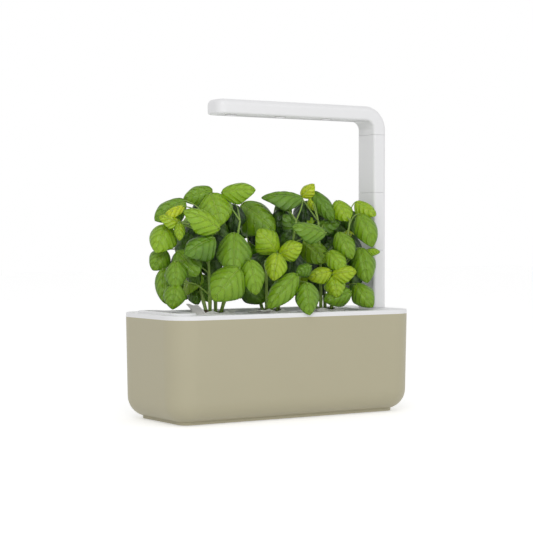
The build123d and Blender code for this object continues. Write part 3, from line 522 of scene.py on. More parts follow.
def blade_sheet(length, width, bow, hang, quilt, twist, wave):
    """The top skin of a blade that lies along X from its base, face up."""
    u = np.linspace(0.003, 0.997, ALONG)[:, None] * np.ones((1, ACROSS))
    v = np.linspace(-1, 1, ACROSS)[None, :] * np.ones((ALONG, 1))
    swell = u**0.52 * (1 - u) ** 0.68 / 0.4465
    teeth = 1 + 0.012 * np.sin(2 * np.pi * 13 * u + wave)
    half = width / 2 * swell * teeth
    y = half * np.sign(v) * np.abs(v) ** 0.9
    out = np.abs(y) / (width / 2)
    phase = VEIN_PAIRS * (u - VEIN_SWEEP * np.abs(v) ** VEIN_CURL)
    pillow = np.abs(np.sin(np.pi * phase)) ** 0.7 * np.clip(np.abs(v) * 5, 0, 1) * (1 - np.abs(v) ** 4)
    height = -hang * width / 2 * out**2
    height += quilt * pillow * swell
    height -= 0.0007 * np.exp(-((y / 0.0011) ** 2)) * (1 - u)
    height += wave_edge(u, v, wave) * width * 0.022
    lean = bow * (0.42 - u)
    step = length / (ALONG - 1)
    x = np.cumsum(np.cos(lean[:, 0])) * step
    z = np.cumsum(np.sin(lean[:, 0])) * step
    x, z = (x - x[0])[:, None], (z - z[0])[:, None]
    points = np.stack([x - np.sin(lean) * height, y, z + np.cos(lean) * height], axis=-1)
    turn = twist * (u - 0.3)
    swung = points.copy()
    swung[..., 1] = points[..., 1] * np.cos(turn) - points[..., 2] * np.sin(turn)
    swung[..., 2] = points[..., 1] * np.sin(turn) + points[..., 2] * np.cos(turn)
    return swung, np.stack([u, (v + 1) / 2], axis=-1)


def wave_edge(u, v, wave):
    """Gentle rise and fall along a leaf's edge."""
    return np.abs(v) ** 3 * np.sin(2 * np.pi * 1.8 * u + wave + np.sign(v))


def add_blade(pile, base, along, face, length, width, tone, bow, hang, quilt, twist, wave):
    """A blade with both skins, set at its base, pointing along and facing face."""
    top, uv = blade_sheet(length, width, bow, hang, quilt, twist, wave)
    chord = top[-1, ACROSS // 2] - top[0, ACROSS // 2]
    middle = top[:, ACROSS // 2, 2].mean()
    across_u = np.gradient(top, axis=0)
    across_v = np.gradient(top, axis=1)
    normal = np.cross(across_u, across_v)
    normal /= np.linalg.norm(normal, axis=-1, keepdims=True) + 1e-12
    under = top - normal * BLADE
    tilt = math.atan2(chord[2], chord[0])
    along = np.asarray(along)
    up = np.asarray(face) - along * np.dot(face, along)
    up = up / np.linalg.norm(up)
    side = np.cross(up, along)
    cosine, sine = math.cos(tilt), math.sin(tilt)
    level = np.array([[cosine, 0, sine], [0, 1, 0], [-sine, 0, cosine]])
    turn = np.stack([along, side, up], axis=1)
    sink = np.array([0, 0, middle * 0.55])

    def seat(points):
        flat = points.reshape(-1, 3) @ level.T - sink
        flat[:, 2] += middle * 0.55 * np.clip(1 - flat[:, 0] / (0.12 * length), 0, 1)
        return flat @ turn.T + np.asarray(base)

    skin = ALONG * ACROSS
    faces = grid_faces(ALONG, ACROSS) + grid_faces(ALONG, ACROSS, start=skin, flip=True)
    kinds = [0] * ((ALONG - 1) * (ACROSS - 1)) + [1] * ((ALONG - 1) * (ACROSS - 1))
    rim = []
    for r in range(ALONG - 1):
        a, b = r * ACROSS, (r + 1) * ACROSS
        far_a, far_b = a + ACROSS - 1, b + ACROSS - 1
        rim += [(a, b, b + skin, a + skin), (far_b, far_a, far_a + skin, far_b + skin)]
    last = (ALONG - 1) * ACROSS
    for c in range(ACROSS - 1):
        tip_a, tip_b = last + c, last + c + 1
        rim += [(c + 1, c, c + skin, c + 1 + skin), (tip_a, tip_b, tip_b + skin, tip_a + skin)]
    points = np.concatenate([seat(top), seat(under)])
    uvs = np.concatenate([uv.reshape(-1, 2), uv.reshape(-1, 2)])
    pile.add(points, faces + rim, uvs, tone, kinds + [1] * len(rim))


print("a blade has", 2 * ALONG * ACROSS, "points")

# %% [markdown]
# ## The skin of a leaf
# The vein group draws the rib and the side veins in the leaf's own coordinates: along runs from
# base to tip, across from edge to edge. Side veins leave the rib at a slant and sweep to the tip.
# The group puts out a mask of the veins, a height that rises between them, and a painted shade
# that darkens the leaf towards its edges. Young leaves are yellower than old ones, so each blade
# carries its own tone from dark to young.


# %% Vein group and leaf materials
def leaf_veins():
    tree, given, out = new_group(
        "leaf veins",
        [
            ("Along", "Float", 0.0),
            ("Across", "Float", 0.0),
            ("Pairs", "Float", VEIN_PAIRS),
            ("Sweep", "Float", VEIN_SWEEP),
            ("Width", "Float", 0.07),
        ],
        [("Veins", "Float"), ("Height", "Float"), ("Margin", "Float")],
    )
    along, across = given.outputs["Along"], given.outputs["Across"]
    aside = sums(tree, "ABSOLUTE", sums(tree, "MULTIPLY_ADD", across, 2.0, -1.0))
    rise = sums(tree, "POWER", aside, VEIN_CURL)
    phase = sums(
        tree,
        "MULTIPLY",
        sums(tree, "SUBTRACT", along, sums(tree, "MULTIPLY", rise, given.outputs["Sweep"])),
        given.outputs["Pairs"],
    )
    pillow = sums(tree, "ABSOLUTE", sums(tree, "SINE", sums(tree, "MULTIPLY", phase, math.pi)))
    side_vein = put(
        tree, "ShaderNodeMapRange", Value=pillow, From_Max=given.outputs["Width"], To_Min=1.0, To_Max=0.0
    )
    fade = sums(tree, "SUBTRACT", 1.0, sums(tree, "POWER", aside, 2.5))
    side_mask = sums(tree, "MULTIPLY", side_vein.outputs[0], fade)
    rib = put(tree, "ShaderNodeMapRange", Value=aside, From_Max=0.045, To_Min=1.0, To_Max=0.0)
    mask = sums(tree, "MAXIMUM", side_mask, rib.outputs[0])
    tree.links.new(mask, out.inputs["Veins"])
    tree.links.new(sums(tree, "SUBTRACT", pillow, mask), out.inputs["Height"])
    # Painted shade: this output grows towards the leaf's edges and darkens them.
    tree.links.new(sums(tree, "POWER", aside, 3.0), out.inputs["Margin"])
    return tree


VEINS = leaf_veins()
VEIN_DEPTH = 0.0019
RIB_DEPTH = 0.0002
# The lowest stop of each ramp is a near-black green: painted shade for leaves deep in the plant, not a
# colour of the leaf.
LEAF_GREENS_AND_SHADE = (
    (0.0, (0.011, 0.040, 0.003, 1.0)),
    (0.22, (0.108, 0.238, 0.004, 1.0)),
    (0.55, (0.250, 0.430, 0.005, 1.0)),
    (1.0, (0.490, 0.600, 0.006, 1.0)),
)
VEIN_GREENS_AND_SHADE = (
    (0.0, (0.030, 0.085, 0.008, 1.0)),
    (0.22, (0.200, 0.350, 0.045, 1.0)),
    (0.55, (0.390, 0.570, 0.080, 1.0)),
    (1.0, (0.640, 0.760, 0.190, 1.0)),
)


def green_ramp(tree, tone, greens):
    """The green of a leaf by its tone: painted shade at the low end, then old and dark to young and yellow.
    """
    ramp = put(tree, "ShaderNodeValToRGB", Fac=tone)
    stops = ramp.color_ramp.elements
    while len(stops) < len(greens):
        stops.new(0.5)
    for stop, (place, colour) in zip(stops, greens):
        stop.position = place
        stop.color = colour
    return ramp.outputs["Color"]


def leaf_skin(name, lift, rough, vein_share, pale):
    """One side of the leaves: lift pales it, vein_share says how clearly its veins show."""
    material, tree, surface = new_material(name)
    uv = put(tree, "ShaderNodeSeparateXYZ", Vector=put(tree, "ShaderNodeTexCoord").outputs["UV"])
    veins = use_group(tree, VEINS, Along=uv.outputs[0], Across=uv.outputs[1])
    place = object_place(tree)
    cells = put(tree, "ShaderNodeTexNoise", Vector=place, Scale=1500.0, Detail=3.0)
    mottle = put(tree, "ShaderNodeTexNoise", Vector=place, Scale=160.0, Detail=2.0)
    tone = put(tree, "ShaderNodeAttribute", {"attribute_name": "tone"}).outputs["Fac"]
    drift = sums(tree, "MULTIPLY_ADD", mottle.outputs[0], 0.2, -0.1)
    # Painted shade: the tone is lowered towards the leaf's edges, where the blade curls away from the
    # light.
    drift = sums(tree, "MULTIPLY_ADD", veins.outputs["Margin"], -0.14, drift)
    tone = sums(tree, "MAXIMUM", sums(tree, "ADD", tone, drift), 0.0)
    flesh = green_ramp(tree, tone, LEAF_GREENS_AND_SHADE)
    vein = green_ramp(tree, tone, VEIN_GREENS_AND_SHADE)
    shade = sums(tree, "MULTIPLY", veins.outputs["Veins"], vein_share)
    skin = blend_colour(tree, shade, flesh, vein)
    feed(tree, surface.inputs["Base Color"], blend_colour(tree, lift, skin, pale))
    roughness = sums(tree, "MULTIPLY_ADD", cells.outputs[0], 0.2, rough - 0.1)
    feed(tree, surface.inputs["Roughness"], roughness)
    rise = sums(tree, "MULTIPLY_ADD", cells.outputs[0], 0.25, veins.outputs["Height"])
    add_relief(tree, surface, rise, 0.65, VEIN_DEPTH)
    set_sockets(
        surface,
        Specular_IOR_Level=0.45,
        Subsurface_Weight=0.2,
        Subsurface_Radius=(0.6, 1.0, 0.2),
        Subsurface_Scale=0.0015,
    )
    return material


leaf_top = leaf_skin("leaf top", 0.0, 0.32, 0.95, grey(0.5))
leaf_under = leaf_skin("leaf underside", 0.22, 0.6, 0.8, (0.26, 0.40, 0.12, 1.0))


def stem_skin():
    """Pale green stems, finely ribbed along their length."""
    material, tree, surface = new_material("stem green")
    drawn = put(tree, "ShaderNodeMapping", Vector=object_place(tree), Scale=(1.0, 1.0, 0.08))
    ribs = put(tree, "ShaderNodeTexNoise", Vector=drawn.outputs[0], Scale=1400.0, Detail=2.0)
    colour = blend_colour(tree, ribs.outputs[0], (0.11, 0.22, 0.020, 1.0), (0.30, 0.42, 0.075, 1.0))
    feed(tree, surface.inputs["Base Color"], colour)
    add_relief(tree, surface, ribs.outputs[0], 0.4, RIB_DEPTH)
    set_sockets(
        surface,
        Roughness=0.45,
        Subsurface_Weight=0.3,
        Subsurface_Radius=(0.6, 1.0, 0.3),
        Subsurface_Scale=0.002,
    )
    return material


stem_green = stem_skin()
print("leaf and stem materials", leaf_top.name, leaf_under.name, stem_green.name)

# %% [markdown]
# ## Where the leaves hang
# The showing side of a plant is set leaf by leaf, the way a stylist dresses it for the front left
# view: side and height on an upright sheet that faces the eye, then how far forward or back the
# leaf's middle hangs (y), where its tip points, how it leans to the front, how far its face tilts
# up, its size, and its tone from old (0) to young (1). The lowest tones, near 0.1, are painted
# shade as well as age: they darken leaves deep in the plant. Millimetres and degrees.

# %% The showing leaves
SHOWN_LEAVES = {
    "left": (
        (-107, 217, 12, 213, 10, 30, 40, 30, 0.32),
        (-104, 213, -2, 214, 10, 60, 31, 16, 0.98),
        (-77, 234, 6, 200, 5, 25, 33, 24, 0.36),
        (-32, 238, -24, 5, 10, 25, 38, 25, 0.52),
        (-57, 218, -16, -72, 20, 30, 38, 40, 0.48),
        (-73, 208, -28, 153, 15, 35, 44, 30, 0.54),
        (-106, 207, -6, 163, 15, 35, 26, 17, 0.72),
        (-115, 187, 5, -115, 15, 22, 33, 31, 0.55),
        (-96, 195, -16, -90, 10, 20, 20, 12, 0.62),
        (-118, 164, 18, -120, 10, 15, 27, 24, 0.36),
        (-75, 179, -28, -150, 20, 35, 38, 34, 0.24),
        (-87, 161, -12, -50, 20, 20, 36, 34, 0.30),
        (-100, 148, -18, -90, 15, 15, 31, 24, 0.34),
        (-112, 136, 8, -88, 5, 5, 38, 21, 0.34),
        (-102, 125, -20, -100, 10, 10, 28, 24, 0.36),
        (-80, 146, 5, -60, 5, 10, 22, 16, 0.20),
        (-79, 126, 18, -70, 5, 5, 20, 17, 0.16),
        (-47, 138, -46, -130, 15, 15, 46, 40, 0.40),
        (-38, 172, -38, -90, 20, 22, 45, 38, 0.34),
        (-17, 145, -54, -78, 5, 15, 39, 25, 0.42),
        (-55, 190, 5, -80, 0, 20, 36, 32, 0.12),
        (-62, 160, 8, -70, 0, 15, 34, 28, 0.10),
        (-90, 178, 12, -110, 0, 15, 34, 30, 0.12),
        (-48, 205, 5, -60, 0, 30, 34, 30, 0.20),
    ),
    "middle": (
        (-11, 209, 2, -40, 15, 30, 50, 44, 0.34),
        (-3, 186, -26, 130, 10, 30, 34, 32, 0.62),
        (13, 231, -8, 178, 10, 52, 46, 29, 0.26),
        (16, 217, 6, -65, 5, 20, 26, 18, 0.22),
        (24, 202, -20, 130, 5, 25, 30, 23, 0.18),
        (23, 176, -40, 22, 10, 22, 28, 24, 0.72),
        (6, 157, -44, -100, 15, 20, 31, 25, 0.70),
        (36, 154, -48, -150, 10, 20, 19, 17, 0.24),
        (13, 131, -50, -132, 15, 18, 50, 26, 0.38),
        (41, 123, -65, -84, 5, 10, 35, 26, 0.34),
        (42, 197, -48, 170, 20, 35, 39, 26, 0.32),
        (22, 155, -10, -90, 0, 10, 30, 26, 0.10),
        (-16, 129, 2, -40, 5, 5, 32, 28, 0.18),
        (2, 178, 8, -80, 0, 20, 36, 32, 0.10),
        (2, 145, 4, -75, 0, 10, 34, 30, 0.08),
    ),
    "right": (
        (41, 239, 0, 45, 10, 30, 20, 18, 0.98),
        (48, 224, -4, -60, 10, 30, 18, 16, 0.80),
        (58, 221, -10, -56, 10, 25, 42, 21, 0.24),
        (78, 217, -18, -60, 20, 35, 28, 26, 0.62),
        (103, 219, -24, -35, 20, 38, 29, 23, 0.66),
        (104, 195, -34, -67, 15, 22, 43, 27, 0.40),
        (101, 158, -38, -80, 15, 15, 42, 28, 0.36),
        (101, 126, -44, -55, 15, 15, 34, 26, 0.38),
        (111, 174, -40, -5, 5, 30, 16, 10, 0.58),
        (81, 179, -38, -62, 15, 22, 36, 24, 0.40),
        (72, 163, -42, -50, 15, 22, 30, 22, 0.54),
        (48, 174, -15, -45, 20, 30, 38, 31, 0.42),
        (62, 202, -5, 10, 5, 30, 32, 23, 0.22),
        (53, 149, -36, -162, 10, 22, 28, 20, 0.74),
        (80, 151, -50, 8, 10, 22, 28, 21, 0.74),
        (70, 136, -44, -80, 10, 20, 25, 24, 0.62),
        (72, 126, -42, -160, 10, 10, 33, 24, 0.32),
        (86, 192, -12, -30, 5, 25, 13, 10, 0.85),
        (88, 203, 0, -70, 0, 20, 32, 27, 0.14),
        (76, 185, 5, -80, 0, 15, 36, 32, 0.10),
        (62, 160, 10, -70, 0, 15, 34, 30, 0.08),
        (85, 142, 5, -90, 0, 10, 34, 30, 0.10),
    ),
}
MM = 0.001
SHEET_TURN = math.radians(33.0)
EYE_DISTANCE = 1.7
EYE_HEIGHT = 0.191
SHEET_RIGHT = np.array([math.cos(SHEET_TURN), -math.sin(SHEET_TURN), 0.0])
SHEET_FRONT = np.array([-math.sin(SHEET_TURN), -math.cos(SHEET_TURN), 0.0])
UP = np.array([0.0, 0.0, 1.0])


def sheet_spot(side, height, y):
    """The point that shows at this side and height of the sheet and lies at this y."""
    sine, cosine = math.sin(SHEET_TURN), math.cos(SHEET_TURN)
    depth = (y + sine * side) / (cosine - sine * side / EYE_DISTANCE)
    grow = 1 + depth / EYE_DISTANCE
    spot = SHEET_RIGHT * side * grow - SHEET_FRONT * depth
    spot[2] = EYE_HEIGHT + (height - EYE_HEIGHT) * grow
    return spot


def shown_frames(plant):
    """Middle, direction, face, size and tone of each leaf on the showing side."""
    for side, height, y, aim, lean, tilt, length, width, tone in SHOWN_LEAVES[plant]:
        aim, lean, tilt = math.radians(aim), math.radians(lean), math.radians(tilt)
        flat = SHEET_RIGHT * math.cos(aim) + UP * math.sin(aim)
        along = flat * math.cos(lean) + SHEET_FRONT * math.sin(lean)
        face = SHEET_FRONT * math.cos(tilt) + UP * math.sin(tilt)
        middle = sheet_spot(side * MM, height * MM, y * MM)
        yield middle, along / np.linalg.norm(along), face, length * MM, width * MM, tone


# %% [markdown]
# ## Leaves in the shade
# A full plant is dense: behind the showing leaves there are always more, half hidden. Their darkness is
# painted shade: their tone is set near 0, the near-black end of the green ramp.
# They close the gaps that would let the light through. They hang nearly upright, and only their
# place and a rough size are set.

# %% The shaded leaves
SHADED_LEAVES = {
    "left": (
        (-41, 188, 10),
        (-79, 190, 8),
        (-94, 160, 6),
        (-53, 176, -8),
        (-39, 208, -2),
        (-72, 216, 10),
        (-47, 212, 6),
    ),
    "middle": (
        (-8, 190, 14),
        (12, 203, -4),
        (22, 190, -18),
        (20, 172, -12),
        (24, 158, -22),
        (-12, 160, 10),
    ),
    "right": (
        (38, 162, 8),
        (38, 212, 10),
        (48, 192, 4),
        (53, 207, 4),
        (85, 177, -12),
        (84, 158, -16),
        (74, 138, -18),
        (50, 136, 0),
        (60, 175, 8),
    ),
}
SHADED_LENGTH, SHADED_WIDTH = 0.032, 0.028


def shaded_frames(plant):
    """Middle, direction, face, size and tone of the leaves that hang in the shade."""
    for k, (side, height, y) in enumerate(SHADED_LEAVES[plant]):
        aim = math.radians(-60 - 37 * (k % 3))
        along = SHEET_RIGHT * math.cos(aim) + UP * math.sin(aim)
        tilt = math.radians(12 + 9 * (k % 2))
        face = SHEET_FRONT * math.cos(tilt) + UP * math.sin(tilt)
        middle = sheet_spot(side * MM, height * MM, y * MM)
        # Painted shade: a tone near 0 colours these leaves near-black, as shade deep in the plant.
        yield middle, along, face, SHADED_LENGTH, SHADED_WIDTH, 0.03 * (k % 3)


# %% [markdown]
# ## The far side
# The plants are seen from behind too. On that side no leaf is placed by hand: the leaves stand in
# three rings, four to a ring, hanging out and down, steeper low on the plant.

# %% The far leaves
FAR_RINGS, FAR_PER_RING = 3, 4
FAR_LOW, FAR_RISE = 0.138, 0.032
FAR_REACH = (0.017, 0.050)
FAR_MIDDLE_Y = 0.008


def far_frames(x):
    """Middle, direction, face, size and tone of the leaves round the back of a plant."""
    for ring in range(FAR_RINGS):
        for k in range(FAR_PER_RING):
            turn = math.pi * (k + 0.5 + 0.3 * (-1) ** ring) / FAR_PER_RING
            out = np.array([math.cos(turn), math.sin(turn), 0.0])
            shrink = 1.0 - 0.1 * ring * (ring - 1)
            middle = np.array(
                [
                    x + FAR_REACH[0] * out[0] * shrink,
                    FAR_MIDDLE_Y + FAR_REACH[1] * out[1] * shrink,
                    FAR_LOW + FAR_RISE * ring + 0.005 * math.sin(7 * turn),
                ]
            )
            fall = math.radians(62 - 8 * ring)
            along = out * math.cos(fall) - UP * math.sin(fall)
            face = out * math.sin(fall) + UP * math.cos(fall)
            size = 1.0 - 0.08 * ((k + ring) % 3)
            yield middle, along, face, 0.036 * size, 0.029 * size, 0.25 + 0.12 * ((k + 2 * ring) % 4)


# %% [markdown]
# ## Stems and the whole plant
# Basil grows several square stems from one pod. Each leaf's stalk leaves the nearest stem a
# finger's width below the leaf and curves up to its base. All the leaves of a plant are one
# piece, its stems and stalks another, and both lift out with their pod.

# %% Grow the plants
POD_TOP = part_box("soil_pod_left")[1].z
STEM_STARTS = ((-6.0, -4.0), (5.0, -6.0), (-4.0, 6.0), (6.0, 5.0))
STEM_KNEE, STEM_TOP = 0.042, 0.096
STEM_SPREAD, STEM_SPREAD_Y = 2.2, 1.6
STALK_DROP = 0.012


def stem_line(x, start):
    """A stem's foot, knee and top, rounded into one line."""
    a, b = start[0] * MM, start[1] * MM
    foot = np.array([x + a, b, POD_TOP - 0.002])
    knee = np.array([x + a + a * STEM_SPREAD / 2, b + b * STEM_SPREAD, POD_TOP + STEM_KNEE])
    tip = np.array([x + a + a * STEM_SPREAD, b + b * STEM_SPREAD * STEM_SPREAD_Y, POD_TOP + STEM_TOP])
    return smooth_path([foot, knee, tip], 12)


def grow_plant(plant, x):
    """One plant: its leaves as one piece, stems and stalks as another."""
    leaves, stems = Pile(), Pile()
    lines = [stem_line(x, start) for start in STEM_STARTS]
    tops = [STALK_DROP + POD_TOP] * len(lines)
    frames = list(shown_frames(plant)) + list(shaded_frames(plant)) + list(far_frames(x))
    for middle, along, face, length, width, tone in frames:
        base = middle - along * (length / 2)
        bow = seed.uniform(0.8, 1.5)
        hang = seed.uniform(0.55, 0.85)
        quilt = width * seed.uniform(0.070, 0.105)
        twist = seed.uniform(-0.4, 0.4)
        wave = seed.uniform(0, 6)
        add_blade(leaves, base, along, face, length, width, tone, bow, hang, quilt, twist, wave)
        height = max(POD_TOP + STALK_DROP, base[2] - STALK_DROP)
        spots = [line[np.argmin(np.abs(line[:, 2] - height))] for line in lines]
        k = min(range(len(lines)), key=lambda k: np.linalg.norm(spots[k] - base))
        tops[k] = max(tops[k], spots[k][2])
        reach = np.linalg.norm(base - spots[k])
        bend = (spots[k] + base) / 2 + (0.08 * UP - 0.10 * SHEET_FRONT) * reach - along * 0.002
        line = smooth_path([spots[k], bend, base, base + along * 0.003], 6)
        add_tube(stems, line, np.linspace(0.0008, 0.0005, len(line)), sides=8)
    for line, top in zip(lines, tops):
        line = line[: max(6, int(np.argmin(np.abs(line[:, 2] - top))) + 2)]
        share = (line[:, 2] - POD_TOP) / STEM_TOP
        swelling = 1 + 0.18 * np.exp(-(((share * 4) % 1 - 0.5) / 0.12) ** 2)
        add_tube(stems, line, (0.0018 - 0.0009 * share) * swelling, sides=12, square=0.16)
    leaf_piece = leaves.build("leaves_" + plant, [leaf_top, leaf_under])
    stem_piece = stems.build("stems_" + plant, [stem_green])
    for piece in (leaf_piece, stem_piece):
        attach(piece, "pod_" + plant)
        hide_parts("basil_" + plant)
    return leaf_piece, stem_piece


CUP_PLACES = {side: sum(corner.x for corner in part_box("cup_" + side)) / 2 for side in SHOWN_LEAVES}
for plant, x in CUP_PLACES.items():
    leaf_piece, stem_piece = grow_plant(plant, x)
    print(plant, "leaves", len(leaf_piece.data.polygons), "faces, stems", len(stem_piece.data.polygons))

# %% [markdown]
# ## Soil, paper and felt
# Each pod is a plug of growing medium. A paper cover is glued over it, and the seedlings have torn
# it open: one strip stands up, the rest lies crumpled round the hole. Under each cup a felt wick
# hangs into the water. All three are soft, so they are shaped here.


# %% The fibre group and its materials
def loose_fibre():
    tree, given, out = new_group(
        "loose fibre",
        [("Place", "Vector", None), ("Size", "Float", 900.0), ("Clumps", "Float", 250.0)],
        [("Height", "Float"), ("Shade", "Float")],
    )
    place, size = given.outputs["Place"], given.outputs["Size"]
    hairs = put(tree, "ShaderNodeTexNoise", Vector=place, Scale=size, Detail=4.0, Roughness=0.7)
    clumps = put(tree, "ShaderNodeTexVoronoi", Vector=place, Scale=given.outputs["Clumps"])
    rise = sums(tree, "MULTIPLY_ADD", clumps.outputs["Distance"], -0.6, hairs.outputs[0])
    tree.links.new(rise, out.inputs["Height"])
    tree.links.new(hairs.outputs[0], out.inputs["Shade"])
    return tree


FIBRE = loose_fibre()


def fibrous(name, dark, light, size, clumps, bump, depth):
    """A soft matt stuff: soil, paper or felt, by how coarse its fibres and clumps are."""
    material, tree, surface = new_material(name)
    stuff = use_group(tree, FIBRE, Place=object_place(tree), Size=size, Clumps=clumps)
    shade = put(tree, "ShaderNodeMapRange", Value=stuff.outputs["Shade"], From_Min=0.3, From_Max=0.7)
    colour = blend_colour(tree, shade.outputs[0], opaque(dark), opaque(light))
    feed(tree, surface.inputs["Base Color"], colour)
    add_relief(tree, surface, stuff.outputs["Height"], bump, depth)
    set_sockets(surface, Roughness=0.95, Specular_IOR_Level=0.15)
    return material


soil_brown = fibrous(
    "growing medium", (0.012, 0.007, 0.004), (0.085, 0.050, 0.026), 1300.0, 420.0, 0.9, 0.0008
)
paper_white = fibrous("cover paper", (0.82, 0.81, 0.78), (0.90, 0.89, 0.87), 2400.0, 160.0, 0.25, 0.0002)
felt_white = fibrous("wick felt", (0.55, 0.54, 0.50), (0.75, 0.74, 0.70), 1900.0, 600.0, 0.6, 0.0004)
print("soft materials", soil_brown.name, paper_white.name, felt_white.name)

# %% Shape the soil, the covers and the wicks
SIDES = 72


def lumps(points, size, seed_value):
    """A smooth random height for each point: a sum of a few slanted waves."""
    draw = np.random.default_rng(seed_value)
    rise = np.zeros(len(points))
    for k in range(14):
        way = draw.normal(size=3)
        way /= np.linalg.norm(way) * size * draw.uniform(0.6, 1.6)
        rise += np.sin(points @ way + draw.uniform(0, 6.28))
    return rise / 14**0.5


CRUMBS = {
    "left": ((-0.0120, -0.0050, 0.0030), (-0.0085, -0.0075, 0.0018)),
    "middle": ((0.0090, -0.0090, 0.0016),),
}
CRUMB_ROWS, CRUMB_SIDES = 9, 16


def end_fans(rows, sides):
    """Close the two ends of a wrapped grid with fans to the two points that follow it."""
    foot, head = rows * sides, rows * sides + 1
    ahead = [(k + 1) % sides for k in range(sides)]
    low = [(foot, ahead[k], k) for k in range(sides)]
    return low + [(head, foot - sides + k, foot - sides + ahead[k]) for k in range(sides)]


def crumb(pile, middle, size):
    """A crumb of the medium that the seedlings pushed up: a lumpy ball."""
    ball = []
    for up in np.linspace(-0.98, 0.98, CRUMB_ROWS):
        out = math.sqrt(1 - up * up)
        for t in np.linspace(0, 2 * np.pi, CRUMB_SIDES, endpoint=False):
            ball.append([out * math.cos(t), out * math.sin(t), 0.8 * up])
    ball = np.array(ball + [[0, 0, -0.8], [0, 0, 0.8]])
    ball *= 1 + 0.22 * lumps(ball, 0.6, 5)[:, None]
    faces = grid_faces(CRUMB_ROWS, CRUMB_SIDES, wrap=True) + end_fans(CRUMB_ROWS, CRUMB_SIDES)
    pile.add(ball * size + middle, faces)


def soil_plug(plant, x):
    """The plug of growing medium, its top crumbly between the torn paper."""
    low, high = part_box("soil_pod_" + plant)
    top, bottom, radius = high.z, low.z, (high.x - low.x) / 2
    foot = radius * 0.85
    profile = [(foot * k / 5, bottom) for k in range(6)]
    wall = top - 0.0012 - bottom
    profile += [(foot + (radius - foot) * k / 16, bottom + wall * k / 16) for k in range(1, 17)]
    profile += [(radius * (1 - k / 22), top - 0.0006) for k in range(1, 22)]
    turn = np.linspace(0, 2 * np.pi, SIDES, endpoint=False)
    rings = []
    for reach, z in profile:
        rings.append(np.stack([x + reach * np.cos(turn), reach * np.sin(turn), np.full(SIDES, z)], axis=-1))
    points = np.array(rings).reshape(-1, 3)
    rise = lumps(points, 0.0016, 3) * 0.0004
    centre = np.array([x, 0, (top + bottom) / 2])
    away = points - centre
    points += away / (np.linalg.norm(away, axis=1, keepdims=True) + 1e-9) * (rise - 0.0005)[:, None]
    points[:, 2] = np.clip(points[:, 2], bottom, top)
    pile = Pile()
    points = np.concatenate([points, [[x, 0, bottom], [x, 0, top - 0.0008]]])
    pile.add(points, grid_faces(len(profile), SIDES, wrap=True) + end_fans(len(profile), SIDES))
    for a, b, size in CRUMBS.get(plant, ()):
        crumb(pile, np.array([x + a, b, top + 0.6 * size]), size)
    piece = pile.build("soil_" + plant, [soil_brown])
    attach(piece, "pod_" + plant)
    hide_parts("soil_pod_" + plant)


TORN_STRIPS = {
    "left": ((195, 15.0, 38), (8, 9.0, 60)),
    "middle": ((222, 9.0, 62), (40, 7.0, 66)),
    "right": ((205, 9.0, 64), (330, 7.0, 60)),
}
PAPER = 0.0003
COVER_HOLE = 0.0150
COVER_SIDES, COVER_ROWS = 120, 12
RAGGED_WAVES = (3, 5, 8, 13, 21)


def paper_cover(plant, x):
    """The torn paper cover: a ragged ring that lies on the pod and strips that stand up."""
    low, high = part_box("pod_label_" + plant)
    soil_low, soil_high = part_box("soil_pod_" + plant)
    radius = (soil_high.x - soil_low.x) / 2 - 0.001
    draw = np.random.default_rng(11 + list(CUP_PLACES).index(plant))
    turn = np.linspace(0, 2 * np.pi, COVER_SIDES, endpoint=False)
    ragged = sum(
        draw.uniform(0.2, 0.5) * np.sin(k * turn + draw.uniform(0, 6)) / k**0.5 for k in RAGGED_WAVES
    )
    rings = []
    for share in np.arange(COVER_ROWS) / (COVER_ROWS - 1):
        reach = COVER_HOLE + 0.0012 * ragged + (radius - COVER_HOLE - 0.0012 * ragged) * share
        curl = 0.0016 * (1 - share) ** 3 * (1 + 0.6 * np.sin(5 * turn + x * 90))
        crease = 0.00022 * np.sin(17 * turn + 6 * share) * share
        height = soil_high.z + 0.0003 + curl + crease
        rings.append(np.stack([x + reach * np.cos(turn), reach * np.sin(turn), height], axis=-1))
    for reach, level in ((0.0007, 0.0002), (0.0010, -0.0003), (0.0010, -0.0009)):
        rim = np.stack([x + (radius + reach) * np.cos(turn), (radius + reach) * np.sin(turn)], axis=-1)
        rings.append(np.concatenate([rim, np.full((len(turn), 1), soil_high.z + level)], axis=1))
    top = np.array(rings)
    pile = Pile()
    add_sheet(pile, top, PAPER, wrap=True)
    for heading, length, lean in TORN_STRIPS[plant]:
        heading, lean, length = math.radians(heading), math.radians(lean), length * MM
        out = np.array([math.cos(heading), math.sin(heading), 0])
        side = np.array([-out[1], out[0], 0])
        width = 0.019 * min(1.0, length / 0.016 + 0.3)
        strip = []
        for share in np.linspace(0, 1, 12):
            bend = lean * (0.8 + 0.5 * share)
            aim = out * math.sin(bend) + UP * math.cos(bend)
            spot = out * (radius - 0.0014) + aim * length * share
            across = np.linspace(-0.5, 0.5, 13)
            tear = 0.0007 * share * np.sin(7 * across + 4 * share)
            cup = 0.0014 * (1 - (2 * across) ** 2) * share
            row = spot + side * (across * width * (1 - 0.18 * share))[:, None]
            row = row - out * cup[:, None] + UP * tear[:, None]
            strip.append(row + np.array([x, 0, soil_high.z + 0.0002]))
        add_sheet(pile, np.array(strip), PAPER)
    piece = pile.build("cover_" + plant, [paper_white])
    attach(piece, "pod_" + plant)
    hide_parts("pod_label_" + plant)


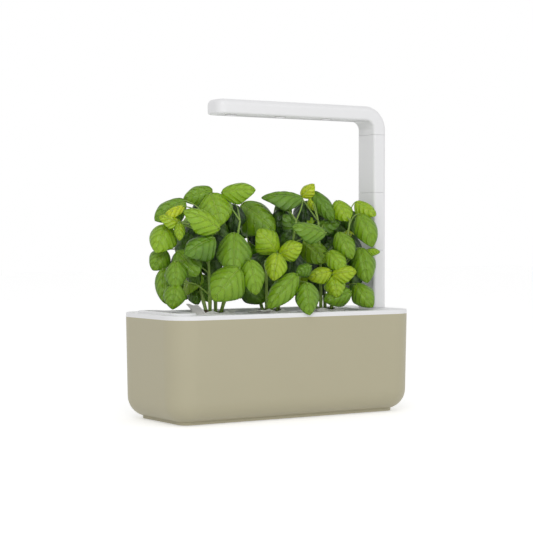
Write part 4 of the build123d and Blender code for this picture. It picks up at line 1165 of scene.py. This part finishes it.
def add_sheet(pile, top, thick, wrap=False):
    """A thin sheet: its top grid, an under grid a thickness away, and the rim between them."""
    rows, columns = top.shape[:2]
    down = np.gradient(top, axis=0)
    aside = np.roll(top, -1, axis=1) - np.roll(top, 1, axis=1) if wrap else np.gradient(top, axis=1)
    normal = np.cross(down, aside)
    normal /= np.linalg.norm(normal, axis=-1, keepdims=True) + 1e-12
    skin = rows * columns
    points = np.concatenate([top.reshape(-1, 3), (top - normal * thick).reshape(-1, 3)])
    faces = grid_faces(rows, columns, wrap=wrap)
    faces += grid_faces(rows, columns, start=skin, flip=True, wrap=wrap)
    last = (rows - 1) * columns
    for c in range(columns if wrap else columns - 1):
        d = (c + 1) % columns
        faces += [(d, c, c + skin, d + skin), (last + c, last + d, last + d + skin, last + c + skin)]
    if not wrap:
        for r in range(rows - 1):
            a, b = r * columns, (r + 1) * columns
            e, f = a + columns - 1, b + columns - 1
            faces += [(a, b, b + skin, a + skin), (f, e, e + skin, f + skin)]
    pile.add(points, faces)


WICK_ROWS, WICK_SIDES = 40, 40
WICK_SQUARE = 0.35


def felt_wick(plant, x):
    """The felt strip under a cup: soft edges, a little uneven, its end drawn in a little."""
    low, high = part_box("wick_" + plant)
    half_x, half_y = (high.x - low.x) / 2, (high.y - low.y) / 2
    turn = np.linspace(0, 2 * np.pi, WICK_SIDES, endpoint=False)
    cx = np.sign(np.cos(turn)) * np.abs(np.cos(turn)) ** WICK_SQUARE
    cy = np.sign(np.sin(turn)) * np.abs(np.sin(turn)) ** WICK_SQUARE
    rings = []
    for z in np.linspace(low.z, high.z, WICK_ROWS):
        pinch = 0.00025 * np.sin(z * 900 + 3 * turn)
        wide, deep = half_x - 0.0004 + pinch, half_y - 0.0003 + pinch
        rings.append(np.stack([x + cx * wide, cy * deep, np.full(WICK_SIDES, z)], axis=-1))
    rings[0][:, :2] = (rings[0][:, :2] - [x, 0]) * 0.88 + [x, 0]
    points = np.array(rings).reshape(-1, 3)
    pile = Pile()
    points = np.concatenate([points, [[x, 0, low.z + 0.0003], [x, 0, high.z]]])
    pile.add(points, grid_faces(WICK_ROWS, WICK_SIDES, wrap=True) + end_fans(WICK_ROWS, WICK_SIDES))
    piece = pile.build("felt_" + plant, [felt_white])
    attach(piece, "cup_" + plant)
    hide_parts("wick_" + plant)


for plant, x in CUP_PLACES.items():
    soil_plug(plant, x)
    paper_cover(plant, x)
    felt_wick(plant, x)
print("soil, paper and felt on", len(CUP_PLACES), "pods")
